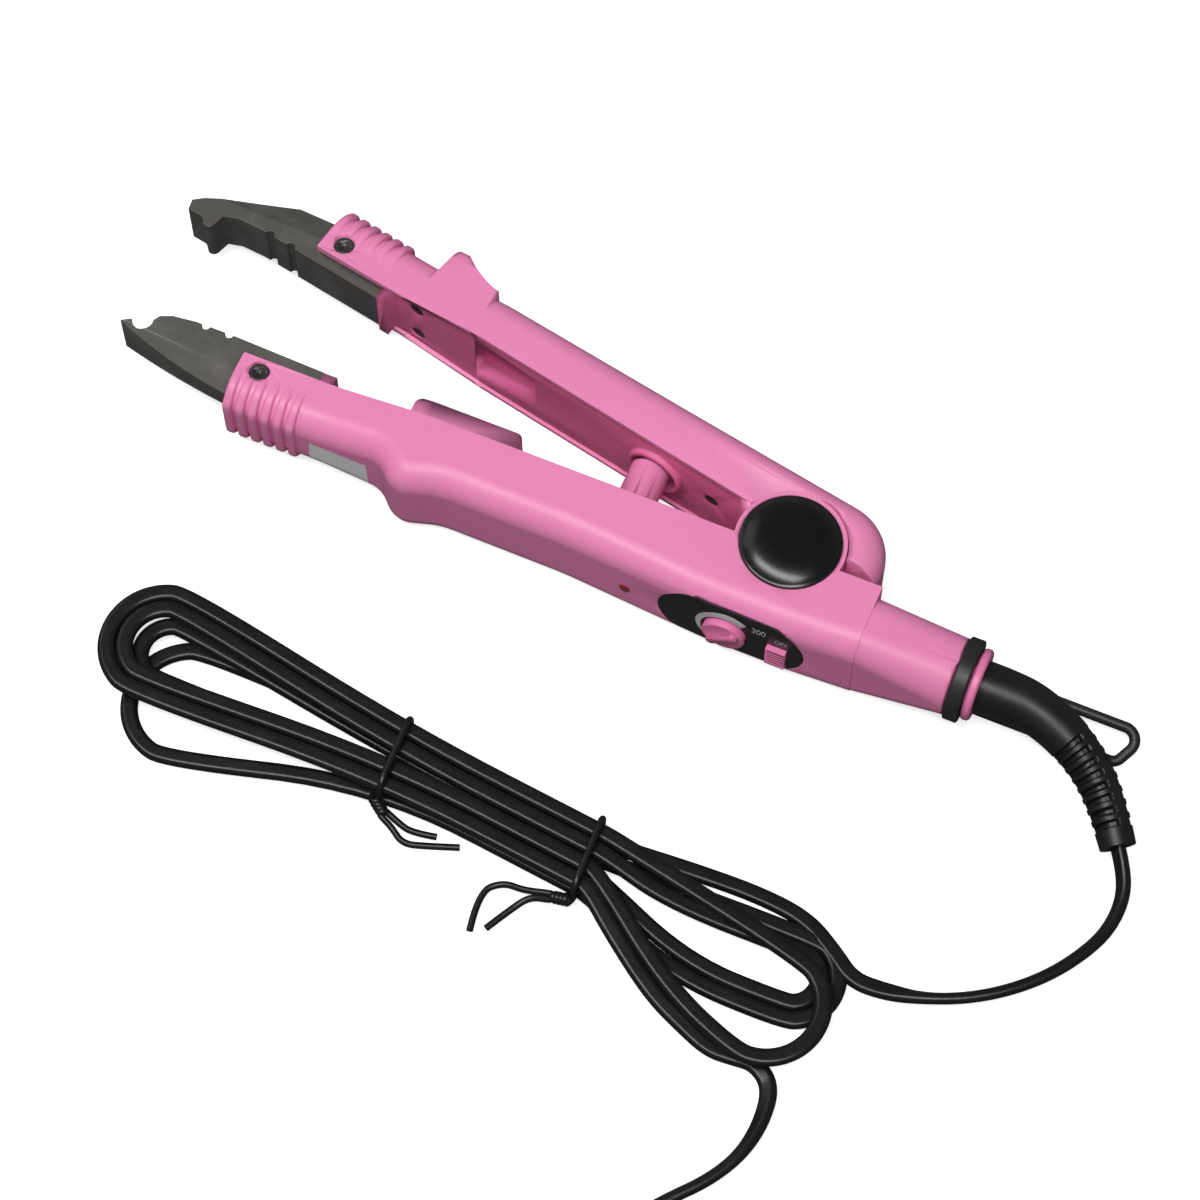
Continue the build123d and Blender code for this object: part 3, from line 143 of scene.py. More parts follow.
class Graph:
    """A node tree under construction."""

    def __init__(self, tree: bpy.types.NodeTree) -> None:
        """Empties a tree and keeps it."""
        self.tree = tree
        tree.nodes.clear()

    def node(self, kind: str, sockets: dict | None = None, **settings: object) -> bpy.types.Node:
        """Adds a node.

        Args:
            kind: The node's type.
            sockets: By input name or index, a value, signal or socket, or a node's first output.
            settings: The node's properties.

        Returns:
            The node.
        """
        made = self.tree.nodes.new(kind)
        for key, value in settings.items():
            setattr(made, key, value)
        for key, value in (sockets or {}).items():
            source = value.socket if isinstance(value, Signal) else value
            source = source.outputs[0] if isinstance(source, bpy.types.Node) else source
            if isinstance(source, Socket):
                self.tree.links.new(source, made.inputs[key])
            else:
                made.inputs[key].default_value = source
        return made

    def noise(self, scale: float, detail: float = 2.0, stretch: Place = (1.0, 1.0, 1.0)) -> Signal:
        """Noise on the piece's own coordinates, about a half on average.

        Args:
            scale: Lumps to a metre.
            detail: Octaves.
            stretch: Scale along each axis, for grain that runs one way.

        Returns:
            The noise.
        """
        place = self.node("ShaderNodeTexCoord").outputs["Object"]
        stretched = self.node("ShaderNodeMapping", {"Vector": place, "Scale": stretch})
        sockets = {"Vector": stretched, "Scale": scale, "Detail": detail, "Roughness": 0.6}
        return Signal(self, self.node("ShaderNodeTexNoise", sockets).outputs[0])

    def blend(self, share: object, first: object, second: object) -> Socket:
        """Mixes two colours by a share."""
        first, second = ((*c, 1.0) if isinstance(c, tuple) else c for c in (first, second))
        made = self.node("ShaderNodeMix", {0: share, 6: first, 7: second}, data_type="RGBA")
        return made.outputs[2]

    def relief(self, height: Signal, depth: float, strength: float, rounding: float) -> Socket:
        """Normal of a surface with a fine relief and softened edges.

        Args:
            height: The relief.
            depth: Its depth in metres.
            strength: How strongly it shows.
            rounding: Radius that sharp edges are softened to, in metres, or nought.

        Returns:
            The normal.
        """
        sockets = {"Height": height, "Distance": depth, "Strength": strength}
        if rounding:
            sockets["Normal"] = self.node("ShaderNodeBevel", {"Radius": rounding}, samples=4)
        return self.node("ShaderNodeBump", sockets).outputs[0]


@dataclass(frozen=True)
class Finish:
    """A surface finish: what the subclasses have in common."""

    name: str
    colour: Colour
    roughness: float

    def material(self) -> bpy.types.Material:
        """The finish as a material, made once."""
        known = bpy.data.materials.get(self.name)
        if known is not None:
            return known
        made = bpy.data.materials.new(self.name)
        made.use_nodes = True
        graph = Graph(made.node_tree)
        shader = graph.node("ShaderNodeBsdfPrincipled", self.sockets(graph))
        graph.node("ShaderNodeOutputMaterial", {"Surface": shader})
        made.diffuse_color = (*self.colour, 1.0)
        return made

    def sockets(self, graph: Graph) -> dict:
        """The shader's values and links.

        Args:
            graph: The material's graph.

        Returns:
            A value, signal or socket for each input's name.
        """
        raise NotImplementedError


@dataclass(frozen=True)
class SatinPlastic(Finish):
    """Moulded plastic with a spark-eroded skin, a little uneven in tone and sheen."""

    deep: Colour
    unevenness: float = 0.35
    grain: float = 3200.0
    edge: float = 0.00022

    def sockets(self, graph: Graph) -> dict:
        """The shader's values and links."""
        cloud = graph.noise(26.0, 3.0).spread(0.42, 3.4)
        skin = graph.noise(self.grain, 2.0)
        sheen = graph.noise(140.0, 4.0)
        return {
            "Base Color": graph.blend(cloud * self.unevenness, self.colour, self.deep),
            "Roughness": self.roughness + sheen.swing(0.14) + skin.swing(0.1),
            "Specular IOR Level": 0.42,
            "Normal": graph.relief(skin + sheen * 0.6, 0.00003, 0.35, self.edge),
        }


@dataclass(frozen=True)
class GlossPlastic(Finish):
    """Polished plastic with faint wipe marks in its gloss."""

    coat: float
    dusty: Colour = (0.10, 0.10, 0.11)

    def sockets(self, graph: Graph) -> dict:
        """The shader's values and links."""
        wipes = graph.noise(420.0, 4.0, (1.0, 6.0, 1.0))
        dust = (graph.noise(2600.0, 1.0) - 0.66).held() * 5.0
        return {
            "Base Color": graph.blend(dust.held() * 0.12, self.colour, self.dusty),
            "Roughness": self.roughness + wipes * 0.05 + dust * 0.04,
            "Coat Weight": self.coat,
            "Coat Roughness": 0.16,
            "Normal": graph.relief(wipes, 0.00001, 0.10, 0.0002),
        }


@dataclass(frozen=True)
class CoatedMetal(Finish):
    """Cast metal under a dark baked coating, rubbed brighter in patches."""

    rubbed: Colour
    shine: float

    def sockets(self, graph: Graph) -> dict:
        """The shader's values and links."""
        patches = graph.noise(95.0, 5.0).spread(0.47, 4.0)
        drawn = graph.noise(900.0, 3.0, (0.12, 1.0, 1.0))
        speck = graph.noise(4200.0, 2.0)
        return {
            "Base Color": graph.blend(patches * 0.45 + speck.swing(0.3), self.colour, self.rubbed),
            "Metallic": self.shine,
            "Roughness": self.roughness + drawn.swing(0.16) - patches * 0.06,
            "Normal": graph.relief(speck + drawn * 0.8, 0.00004, 0.4, 0.0002),
        }


@dataclass(frozen=True)
class BareMetal(Finish):
    """Turned, drawn or plated metal with its fine tool marks."""

    marks: Place = (0.15, 1.0, 1.0)
    dulling: float = 0.7

    def sockets(self, graph: Graph) -> dict:
        """The shader's values and links."""
        lines = graph.noise(2400.0, 3.0, self.marks)
        tone = graph.noise(160.0, 3.0)
        dull = tuple(part * self.dulling for part in self.colour)
        return {
            "Base Color": graph.blend(tone.spread(0.25, 1.6), self.colour, dull),
            "Metallic": 1.0,
            "Roughness": self.roughness + lines.swing(0.2),
            "Normal": graph.relief(lines, 0.00002, 0.3, 0.0),
        }


@dataclass(frozen=True)
class Rubber(Finish):
    """Soft jacket or moulding: matt skin, faint flow lines, a dusting of bloom."""

    bloom: Colour

    def sockets(self, graph: Graph) -> dict:
        """The shader's values and links."""
        skin = graph.noise(1500.0, 4.0)
        lines = graph.noise(340.0, 3.0, (0.3, 1.0, 1.0))
        return {
            "Base Color": graph.blend((lines * 1.5 - 0.55).held() * 0.5, self.colour, self.bloom),
            "Roughness": self.roughness + skin.swing(0.16) + lines.swing(0.12),
            "Specular IOR Level": 0.40,
            "Normal": graph.relief(skin + lines, 0.00004, 0.4, 0.0),
        }


@dataclass(frozen=True)
class ClearLens(Finish):
    """Clear coloured moulding, clouded with a second tint."""

    tint: Colour = (0.4, 0.02, 0.03)

    def sockets(self, graph: Graph) -> dict:
        """The shader's values and links."""
        swirl = graph.noise(900.0, 2.0)
        return {
            "Base Color": graph.blend(swirl, self.colour, self.tint),
            "Roughness": self.roughness + swirl * 0.06,
            "Coat Weight": 0.8,
            "Coat Roughness": 0.05,
        }


@dataclass(frozen=True)
class PaperLabel(Finish):
    """Bare printed-stock label with a slight sheen and fibre."""

    shading: float = 0.86

    def sockets(self, graph: Graph) -> dict:
        """The shader's values and links."""
        fibre = graph.noise(1900.0, 5.0, (1.0, 1.0, 0.4))
        shade = tuple(part * self.shading for part in self.colour)
        return {
            "Base Color": graph.blend(fibre, self.colour, shade),
            "Roughness": self.roughness + fibre * 0.15,
            "Normal": graph.relief(fibre, 0.00003, 0.3, 0.0),
        }


class Finishes(Enum):
    """Every finish on the iron, with the record's slot that it belongs to."""

    SHELL = (SatinPlastic("shell satin", PINK, 0.40, DEEP_PINK), "shell_pink")
    COVER = (SatinPlastic("cover satin", (0.74, 0.16, 0.35), 0.42, (0.64, 0.12, 0.28)), "cover_pink")
    TRIM = (SatinPlastic("trim satin", (0.80, 0.20, 0.41), 0.36, DEEP_PINK), "trim_pink")
    CAP = (GlossPlastic("cap gloss", (0.004, 0.004, 0.005), 0.24, 0.1), "gloss_black")
    PANEL = (
        SatinPlastic("panel satin", (0.014, 0.014, 0.015), 0.38, (0.02, 0.02, 0.022), 0.5),
        "satin_black",
    )
    RING = (
        SatinPlastic("ring satin", (0.016, 0.016, 0.017), 0.42, (0.026, 0.026, 0.028), 0.6),
        "satin_black",
    )
    JAW = (CoatedMetal("jaw coating", (0.138, 0.132, 0.122), 0.38, (0.29, 0.28, 0.26), 0.5), "jaw_coating")
    HOLDER = (
        SatinPlastic("holder moulding", (0.03, 0.03, 0.032), 0.6, (0.045, 0.044, 0.042), 0.6),
        "holder_black",
    )
    SCREW = (
        CoatedMetal("screw blacking", (0.035, 0.032, 0.034), 0.34, (0.07, 0.068, 0.07), 0.3),
        "screw_steel",
    )
    STEEL = (BareMetal("drawn steel", (0.55, 0.55, 0.57), 0.30), "bright_steel")
    PLATED = (BareMetal("plated brass", (0.66, 0.63, 0.56), 0.22, (1.0, 0.2, 1.0)), "pin_nickel")
    WIRE = (Rubber("silicone sleeve", (0.72, 0.72, 0.70), 0.45, (0.60, 0.60, 0.57)), "lead_silicone")
    BOARD = (SatinPlastic("board mask", (0.02, 0.16, 0.07), 0.35, (0.03, 0.22, 0.09), 0.6), "board_green")
    LENS = (ClearLens("pilot red", (0.16, 0.004, 0.01), 0.12), "lens_red")
    LAMP = (ClearLens("lamp clear", (0.75, 0.32, 0.30), 0.10, (0.85, 0.6, 0.58)), "lamp_clear")
    GUARD = (Rubber("guard rubber", (0.008, 0.008, 0.008), 0.40, (0.018, 0.018, 0.018)), "guard_rubber")
    CORD = (Rubber("cord jacket", (0.006, 0.006, 0.006), 0.30, (0.014, 0.014, 0.015)), "cord_black")
    TIE = (Rubber("tie coating", (0.007, 0.007, 0.007), 0.34, (0.018, 0.018, 0.019)), "tie_black")
    PLUG = (
        SatinPlastic("plug moulding", (0.015, 0.015, 0.016), 0.42, (0.026, 0.026, 0.027), 0.6),
        "satin_black",
    )
    INK = (PaperLabel("grey print", (0.62, 0.62, 0.63), 0.5), "satin_black")
    LABEL = (PaperLabel("bare label", (0.86, 0.86, 0.87), 0.36), "lead_silicone")

    def material(self) -> bpy.types.Material:
        """The finish's material."""
        return self.value[0].material()

    def slot(self) -> str:
        """The record's slot."""
        return self.value[1]


Parts = tuple[tuple[str, Body, Finishes], ...]


def on_both_arms(**finishes: Finishes) -> Parts:
    """Parts that each arm has one of, in their finishes."""
    arms = (("lower", Body.LOWER), ("upper", Body.UPPER))
    return tuple((f"{arm}_{part}", body, look) for part, look in finishes.items() for arm, body in arms)


def metres(point: Sequence[float]) -> Vector:
    """A place given in millimetres."""
    return Vector(point) * MM


def ramp(value: float, start: float, run: float) -> float:
    """Nought up to a start, then rising evenly to one over a run."""
    return min(1.0, max(0.0, (value - start) / run))


def piece_of(name: str, data: bpy.types.ID) -> Piece:
    """Links a new object for a mesh, curve, lamp or camera."""
    made = bpy.data.objects.new(name, data)
    bpy.context.scene.collection.objects.link(made)
    return made


def shaped(name: str, shape: Shape) -> Piece:
    """Makes a finished shape an object and frees it."""
    mesh = bpy.data.meshes.new(name)
    shape.to_mesh(mesh)
    shape.free()
    return piece_of(name, mesh)


def plain_mesh(piece: Piece) -> bpy.types.Mesh:
    """New mesh of an object as its curve and modifiers make it."""
    bpy.context.view_layer.update()
    graph = bpy.context.evaluated_depsgraph_get()
    return bpy.data.meshes.new_from_object(piece.evaluated_get(graph), depsgraph=graph)


def baked(piece: Piece) -> Piece:
    """Turns a piece's modifiers into its plain mesh."""
    mesh = plain_mesh(piece)
    piece.modifiers.clear()
    piece.data = mesh
    return piece


def smoothed(piece: Piece, angle: float = SHARP_ANGLE) -> Piece:
    """Shades a piece smooth between its sharp edges, flats kept flat.

    Args:
        piece: The object.
        angle: Edges sharper than this many degrees stay sharp.

    Returns:
        The piece.
    """
    for face in piece.data.polygons:
        face.use_smooth = True
    piece.data.set_sharp_from_angle(angle=math.radians(angle))
    weigh = piece.modifiers.new("weigh", "WEIGHTED_NORMAL")
    weigh.keep_sharp = True
    weigh.weight = 80
    return baked(piece)


def settle(
    piece: Piece, body: Body, finish: Finishes, stands_for: Sequence[str] = ()
) -> Piece:
    """Dresses a finished piece and sets it on its body.

    Args:
        piece: The object, already in place.
        body: The body it moves with.
        finish: Its finish.
        stands_for: CAD nodes that it replaces.

    Returns:
        The piece.
    """
    piece.data.materials.clear()
    piece.data.materials.append(finish.material())
    piece.cycles.shadow_terminator_geometry_offset = 0.3
    piece.cycles.shadow_terminator_offset = 0.1
    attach(piece, body.value)
    if stands_for:
        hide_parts(*stands_for)
    LOG.info("%s rides on %s in %s", piece.name, body.value, finish.name)
    return piece


def refined(node: str, name: str, angle: float = SHARP_ANGLE) -> Piece:
    """Smooth-shaded copy of a CAD node's merged mesh.

    Args:
        node: The CAD node.
        name: The copy's name.
        angle: Edges sharper than this many degrees stay sharp.

    Returns:
        The copy.
    """
    shape = bmesh.new()
    shape.from_mesh(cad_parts[node].data)
    bmesh.ops.remove_doubles(shape, verts=shape.verts, dist=MERGE_DISTANCE)
    return smoothed(shaped(name, shape), angle)


def spline_curve(name: str, points: Sequence[Place], radius: float = 0.0) -> Piece:
    """Round wire on one smooth spline along its route.

    Args:
        name: The object's name.
        points: Control points in millimetres.
        radius: Radius in millimetres, or nought for a bare line.

    Returns:
        The curve object.
    """
    curve = bpy.data.curves.new(name, "CURVE")
    curve.dimensions = "3D"
    spline = curve.splines.new("NURBS")
    spline.points.add(len(points) - 1)
    for target, point in zip(spline.points, points):
        target.co = (*metres(point), 1.0)
    spline.order_u = 3
    spline.use_endpoint_u = True
    spline.resolution_u = 8
    spline.use_smooth = True
    curve.resolution_u = 8
    curve.bevel_depth = radius * MM
    curve.bevel_resolution = 4
    curve.use_fill_caps = True
    return piece_of(name, curve)


def line_points(points: Sequence[Place]) -> list[Vector]:
    """Places along the smooth spline of a route.

    Args:
        points: Control points in millimetres.

    Returns:
        The places, in metres.
    """
    bare = spline_curve("bare line", points)
    mesh = plain_mesh(bare)
    found = [vertex.co.copy() for vertex in mesh.vertices]
    bpy.data.objects.remove(bare)
    bpy.data.meshes.remove(mesh)
    return found


def run_lengths(spots: Sequence[Vector]) -> list[float]:
    """Length of a line up to each of its places."""
    lengths = [0.0]
    for before, after in zip(spots, spots[1:]):
        lengths.append(lengths[-1] + (after - before).length)
    return lengths


def even_points(spots: Sequence[Vector], count: int) -> list[Vector]:
    """Places at even steps along a line.

    Args:
        spots: The line, already smooth.
        count: How many places.

    Returns:
        The places.
    """
    lengths = run_lengths(spots)
    found = []
    index = 0
    for step in range(count):
        reach = lengths[-1] * step / (count - 1)
        while index < len(spots) - 2 and lengths[index + 1] < reach:
            index += 1
        run = lengths[index + 1] - lengths[index]
        found.append(spots[index].lerp(spots[index + 1], (reach - lengths[index]) / run))
    return found


def outward(along: Vector, turn: float) -> Vector:
    """Direction square to a line, at an angle round it from the top."""
    side = along.cross(UP).normalized()
    return side.cross(along) * math.cos(turn) + side * math.sin(turn)


def skinned(name: str, shape: Shape, rings: Sequence[list]) -> Piece:
    """Closes a row of vertex rings into a solid.

    Args:
        name: The object's name.
        shape: The shape that holds the vertices.
        rings: The rings, where one of a single vertex is a pole.

    Returns:
        The object.
    """
    around = max(len(ring) for ring in rings)
    for first, second in zip(rings, rings[1:]):
        for step in range(around):
            after = (step + 1) % around
            corners = [first[step % len(first)], first[after % len(first)]]
            corners += [second[after % len(second)], second[step % len(second)]]
            shape.faces.new(list(dict.fromkeys(corners)))
    for ring in (rings[0], rings[-1]):
        if len(ring) > 1:
            shape.faces.new(ring)
    bmesh.ops.recalc_face_normals(shape, faces=shape.faces)
    return shaped(name, shape)


def swept(
    name: str, spots: Sequence[Vector], section: Callable[[float, float], float], around: int
) -> Piece:
    """Closed tube along a line with its own radius at every share and turn.

    Args:
        name: The object's name.
        spots: The line, in metres.
        section: Radius in metres at a share of the length and an angle round it from the top.
        around: Points to a section.

    Returns:
        The object.
    """
    lengths = run_lengths(spots)
    shape = bmesh.new()
    rings = []
    for index, spot in enumerate(spots):
        ahead = spots[min(index + 1, len(spots) - 1)] - spots[max(index - 1, 0)]
        along = ahead.normalized()
        share = lengths[index] / lengths[-1]
        ring = []
        for step in range(around):
            turn = FULL_TURN * step / around
            ring.append(shape.verts.new(spot + outward(along, turn) * section(share, turn)))
        rings.append(ring)
    return skinned(name, shape, rings)


def turned(name: str, profile: Sequence[Pair], around: int) -> Piece:
    """Solid of revolution about Z.

    Args:
        name: The object's name.
        profile: (radius, height) pairs in millimetres, from axis to axis.
        around: Steps round the axis.

    Returns:
        The object.
    """
    shape = bmesh.new()
    rings = []
    for radius, height in profile:
        count = around if radius else 1
        ring = []
        for step in range(count):
            turn = FULL_TURN * step / count
            ring.append(shape.verts.new(metres((radius * math.cos(turn), radius * math.sin(turn), height))))
        rings.append(ring)
    return skinned(name, shape, rings)


def filled(outline: Sequence[Pair]) -> Shape:
    """Filled outline in the X-Z plane, from millimetres."""
    flat = bmesh.new()
    flat.faces.new([flat.verts.new(metres((x, SHEET_Y, z))) for x, z in outline])
    bmesh.ops.triangulate(flat, faces=flat.faces)
    return flat


def lettered(text: str, size: float, x: float, z: float, tall: float = 1.4) -> Shape:
    """Text as a flat mesh in the X-Z plane, read from -Y.

    Args:
        text: The characters.
        size: Letter size in millimetres.
        x: Centre in millimetres.
        z: Centre in millimetres.
        tall: Height of the letters against their usual height.

    Returns:
        The mesh.
    """
    words = bpy.data.curves.new("words", "FONT")
    words.body = text
    words.size = size * MM
    words.align_x = "CENTER"
    words.align_y = "CENTER"
    holder = piece_of("words", words)
    mesh = plain_mesh(holder)
    bpy.data.objects.remove(holder)
    flat = bmesh.new()
    flat.from_mesh(mesh)
    stand = Matrix.Translation(metres((x, SHEET_Y, z))) @ Matrix.Rotation(math.radians(90), 4, "X")
    bmesh.ops.transform(flat, matrix=stand @ Matrix.Diagonal((1.0, tall, 1.0, 1.0)), verts=flat.verts)
    bmesh.ops.remove_doubles(flat, verts=flat.verts, dist=1e-7)
    bmesh.ops.triangulate(flat, faces=flat.faces)
    return flat


@dataclass
class Printed:
    """Thin print or label laid on a curved face that looks along -Y."""

    carrier: str
    lift: float
    longest_edge: float
    halvings: int = 6
    ray_from: float = -60.0
    near_face: float = 8.0

    def laid(self, name: str, flat: Shape) -> Piece:
        """Cuts a flat outline fine and presses it onto the carrier.

        Args:
            name: The object's name.
            flat: Filled outline with X and Z in metres.

        Returns:
            The object.
        """
        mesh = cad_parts[self.carrier].data
        tree = BVHTree.FromPolygons([v.co for v in mesh.vertices], [list(p.vertices) for p in mesh.polygons])
        for _ in range(self.halvings):
            long_edges = [edge for edge in flat.edges if edge.calc_length() > self.longest_edge * MM]
            if not long_edges:
                break
            bmesh.ops.subdivide_edges(flat, edges=long_edges, cuts=1, use_grid_fill=False)
            bmesh.ops.triangulate(flat, faces=flat.faces)
        for vertex in flat.verts:
            start = Vector((vertex.co.x, self.ray_from * MM, vertex.co.z))
            found = tree.ray_cast(start, Vector((0, 1, 0)))[0]
            if found is None:
                found = tree.find_nearest(vertex.co + metres((0, self.near_face, 0)))[0]
            vertex.co.y = found.y - self.lift * MM
        bmesh.ops.recalc_face_normals(flat, faces=flat.faces)
        if sum(face.normal.y * face.calc_area() for face in flat.faces) > 0:
            bmesh.ops.reverse_faces(flat, faces=flat.faces)
        return shaped(name, flat)


@dataclass
class Assembly:
    """Pieces that belong together, with the CAD nodes that dressed copies stand for."""

    parts: Parts = ()
    sharp_angle: float = SHARP_ANGLE

    def build(self) -> None:
        """Makes and dresses the pieces."""
        for node, body, finish in self.parts:
            settle(refined(node, node.replace("_", "-"), self.sharp_angle), body, finish, [node])


@dataclass
class Arms(Assembly):
    """The two pink casings with their inner covers, screws and the bare label."""

    cover_angle: float = 42.0
    label: tuple[Pair, ...] = ((-118.0, 5.3), (-117.4, 15.6), (-102.5, 15.0), (-102.1, 4.3))
    parts: Parts = on_both_arms(
        shell=Finishes.SHELL, cover_screws=Finishes.SCREW, jaw_screw=Finishes.SCREW
    )
    covers: Parts = (
        ("lower_inner_cover", Body.LOWER, Finishes.SHELL),
        ("upper_inner_cover", Body.UPPER, Finishes.COVER),
    )

    def build(self) -> None:
        """Makes and dresses the casings."""
        super().build()
        Assembly(self.covers, self.cover_angle).build()
        sheet = Printed("lower_shell", lift=0.08, longest_edge=1.28)
        settle(sheet.laid("bare-label", filled(self.label)), Body.LOWER, Finishes.LABEL)


@dataclass
class Jaws(Assembly):
    """The two coated jaws, their holders and cartridge heaters."""

    sharp_angle: float = 22.0
    parts: Parts = on_both_arms(
        jaw=Finishes.JAW, jaw_insulator=Finishes.HOLDER, heater=Finishes.STEEL
    )


@dataclass
class Hinge(Assembly):
    """Pin, glossy domed cap and flat lower cap."""

    cap_radius: float = 12.2
    cap_seat: float = 25.25
    seat_chamfer: float = 0.1
    rim_start: float = 26.05
    rim_round: float = 0.45
    rim_steps: int = 4
    cap_top: float = 28.5
    dome_power: float = 4.6
    dome_steps: int = 32
    dome_around: int = 128
    dome_angle: float = 30.0
    parts: Parts = (
        ("hinge_cap_bottom", Body.LOWER, Finishes.CAP),
        ("pivot_pin", Body.LOWER, Finishes.STEEL),
    )

    def _dome(self) -> list[Pair]:
        """Profile of the domed cap from its underside to its top."""
        seat, chamfer = self.cap_seat, self.seat_chamfer
        profile = [(0.0, seat), (self.cap_radius - chamfer, seat), (self.cap_radius, seat + chamfer)]
        for step in range(self.rim_steps + 1):
            turn = math.pi / 2 * step / self.rim_steps
            inset = self.rim_round * (1 - math.cos(turn))
            profile.append((self.cap_radius - inset, self.rim_start + self.rim_round * math.sin(turn)))
        face_radius = self.cap_radius - self.rim_round
        face_start = self.rim_start + self.rim_round
        for step in range(1, self.dome_steps + 1):
            share = 1 - step / self.dome_steps
            rise = (self.cap_top - face_start) * (1 - share**self.dome_power)
            profile.append((face_radius * share, face_start + rise))
        return profile

    def build(self) -> None:
        """Makes and dresses the hinge."""
        dome = smoothed(turned("hinge-dome", self._dome(), self.dome_around), self.dome_angle)
        settle(dome, Body.LOWER, Finishes.CAP, ["hinge_cap_top"])
        super().build()


@dataclass
class Controls(Assembly):
    """Oval panel with its dial, scale, slide switch and pilot light."""

    dial_x: float = -7.5
    middle: float = 13.0
    scale_inner: float = 6.1
    scale_outer: float = 8.7
    scale_thin: float = 0.3
    scale_from: float = 235.0
    scale_to: float = 52.0
    scale_steps: int = 40
    parts: Parts = (
        ("control_panel", Body.LOWER, Finishes.PANEL),
        ("temperature_dial", Body.DIAL, Finishes.TRIM),
        ("dial_shaft", Body.DIAL, Finishes.STEEL),
        ("switch_slider", Body.SWITCH, Finishes.TRIM),
        ("pilot_lens", Body.LOWER, Finishes.LENS),
    )

    def _scale(self) -> Shape:
        """Crescent round the dial that widens toward the hottest end."""
        strip = bmesh.new()
        rungs = []
        for step in range(self.scale_steps + 1):
            share = step / self.scale_steps
            turn = math.radians(self.scale_from + (self.scale_to - self.scale_from) * share)
            width = (self.scale_outer - self.scale_inner) * (self.scale_thin + (1 - self.scale_thin) * share)
            rung = []
            for radius in (self.scale_inner, self.scale_inner + width):
                x, z = self.dial_x + radius * math.cos(turn), self.middle + radius * math.sin(turn)
                rung.append(strip.verts.new(metres((x, SHEET_Y, z))))
            rungs.append(rung)
        for before, after in zip(rungs, rungs[1:]):
            strip.faces.new([*before, *reversed(after)])
        bmesh.ops.triangulate(strip, faces=strip.faces)
        return strip

    def build(self) -> None:
        """Makes and dresses the controls."""
        super().build()
        ink = Printed("control_panel", lift=0.12, longest_edge=0.8)
        prints = {
            "heat-scale": self._scale(),
            "scale-number": lettered("200", 2.4, 0.9, 19.1),
            "switch-word": lettered("ON", 1.9, 6.5, 17.7),
        }
        for name, flat in prints.items():
            settle(ink.laid(name, flat), Body.LOWER, Finishes.INK)


@dataclass
class RearEnd(Assembly):
    """Neck of the handle, end flange and the ring with its wire loop."""

    parts: Parts = (
        ("rear_neck", Body.LOWER, Finishes.SHELL),
        ("end_flange", Body.LOWER, Finishes.TRIM),
        ("hanging_loop", Body.LOOP, Finishes.RING),
    )


@dataclass
class BendGuard:
    """Rubber guard at the cord's root: smooth, then slotted in two rows, then a collar."""

    route: Route = (
        (49.0, -11.1, 13.0), (56.0, -11.1, 13.0), (66.0, -11.1, 12.9), (78.5, -15.6, 10.4),
        (88.5, -23.4, 7.4), (95.3, -33.2, 4.9),
    )
    start_radius: float = 6.3
    end_radius: float = 4.3
    straight: float = 0.15
    slots: int = 8
    slotted_from: float = 0.50
    slotted_to: float = 0.935
    slot_depth: float = 1.5
    slot_open: float = -0.30
    slot_edge: float = 0.75
    spine: float = 0.40
    spine_edge: float = 0.12
    spine_turn: float = 0.60
    steps: int = 230
    around: int = 72
    sharp_angle: float = 40.0

    def _section(self, share: float, turn: float) -> float:
        """Radius of the guard, with slots cut in on both sides of its spines.

        Args:
            share: Share of its length.
            turn: Angle round it from the top.

        Returns:
            The radius in metres.
        """
        taper = ramp(share, self.straight, 1 - self.straight)
        skin = self.start_radius + (self.end_radius - self.start_radius) * taper
        if not self.slotted_from < share < self.slotted_to:
            return skin * MM
        slot = (share - self.slotted_from) / (self.slotted_to - self.slotted_from) * self.slots
        beside_spine = ramp(abs(math.remainder(turn + self.spine_turn, math.pi)), self.spine, self.spine_edge)
        in_slot = ramp(-math.cos(FULL_TURN * slot), self.slot_open, self.slot_edge)
        return (skin - self.slot_depth * in_slot * beside_spine) * MM

    def build(self) -> None:
        """Makes and dresses the guard."""
        spots = even_points(line_points(self.route), self.steps)
        guard = smoothed(swept("bend-guard", spots, self._section, self.around), self.sharp_angle)
        settle(guard, Body.LOWER, Finishes.GUARD, ["strain_relief"])


def hank_axes() -> tuple[Vector, Vector]:
    """Directions along the tied hank and level across it."""
    along = (Vector((*WAIST_RIGHT, 0)) - Vector((*WAIST_LEFT, 0))).normalized()
    return along, Vector((-along.y, along.x, 0))


@dataclass(frozen=True)
class Turn:
    """One turn of the hank: out along a lane, round the left lobe, back opposite, round the right lobe.

    A lobe is its centre X and Y and its radius. A lane counts strands from the bundle's middle.
    """

    height: float
    lane: float
    left: Place
    left_height: float
    belly: Pair = (0.0, 0.0)
    right: Place | None = None
    climb: Place | None = None


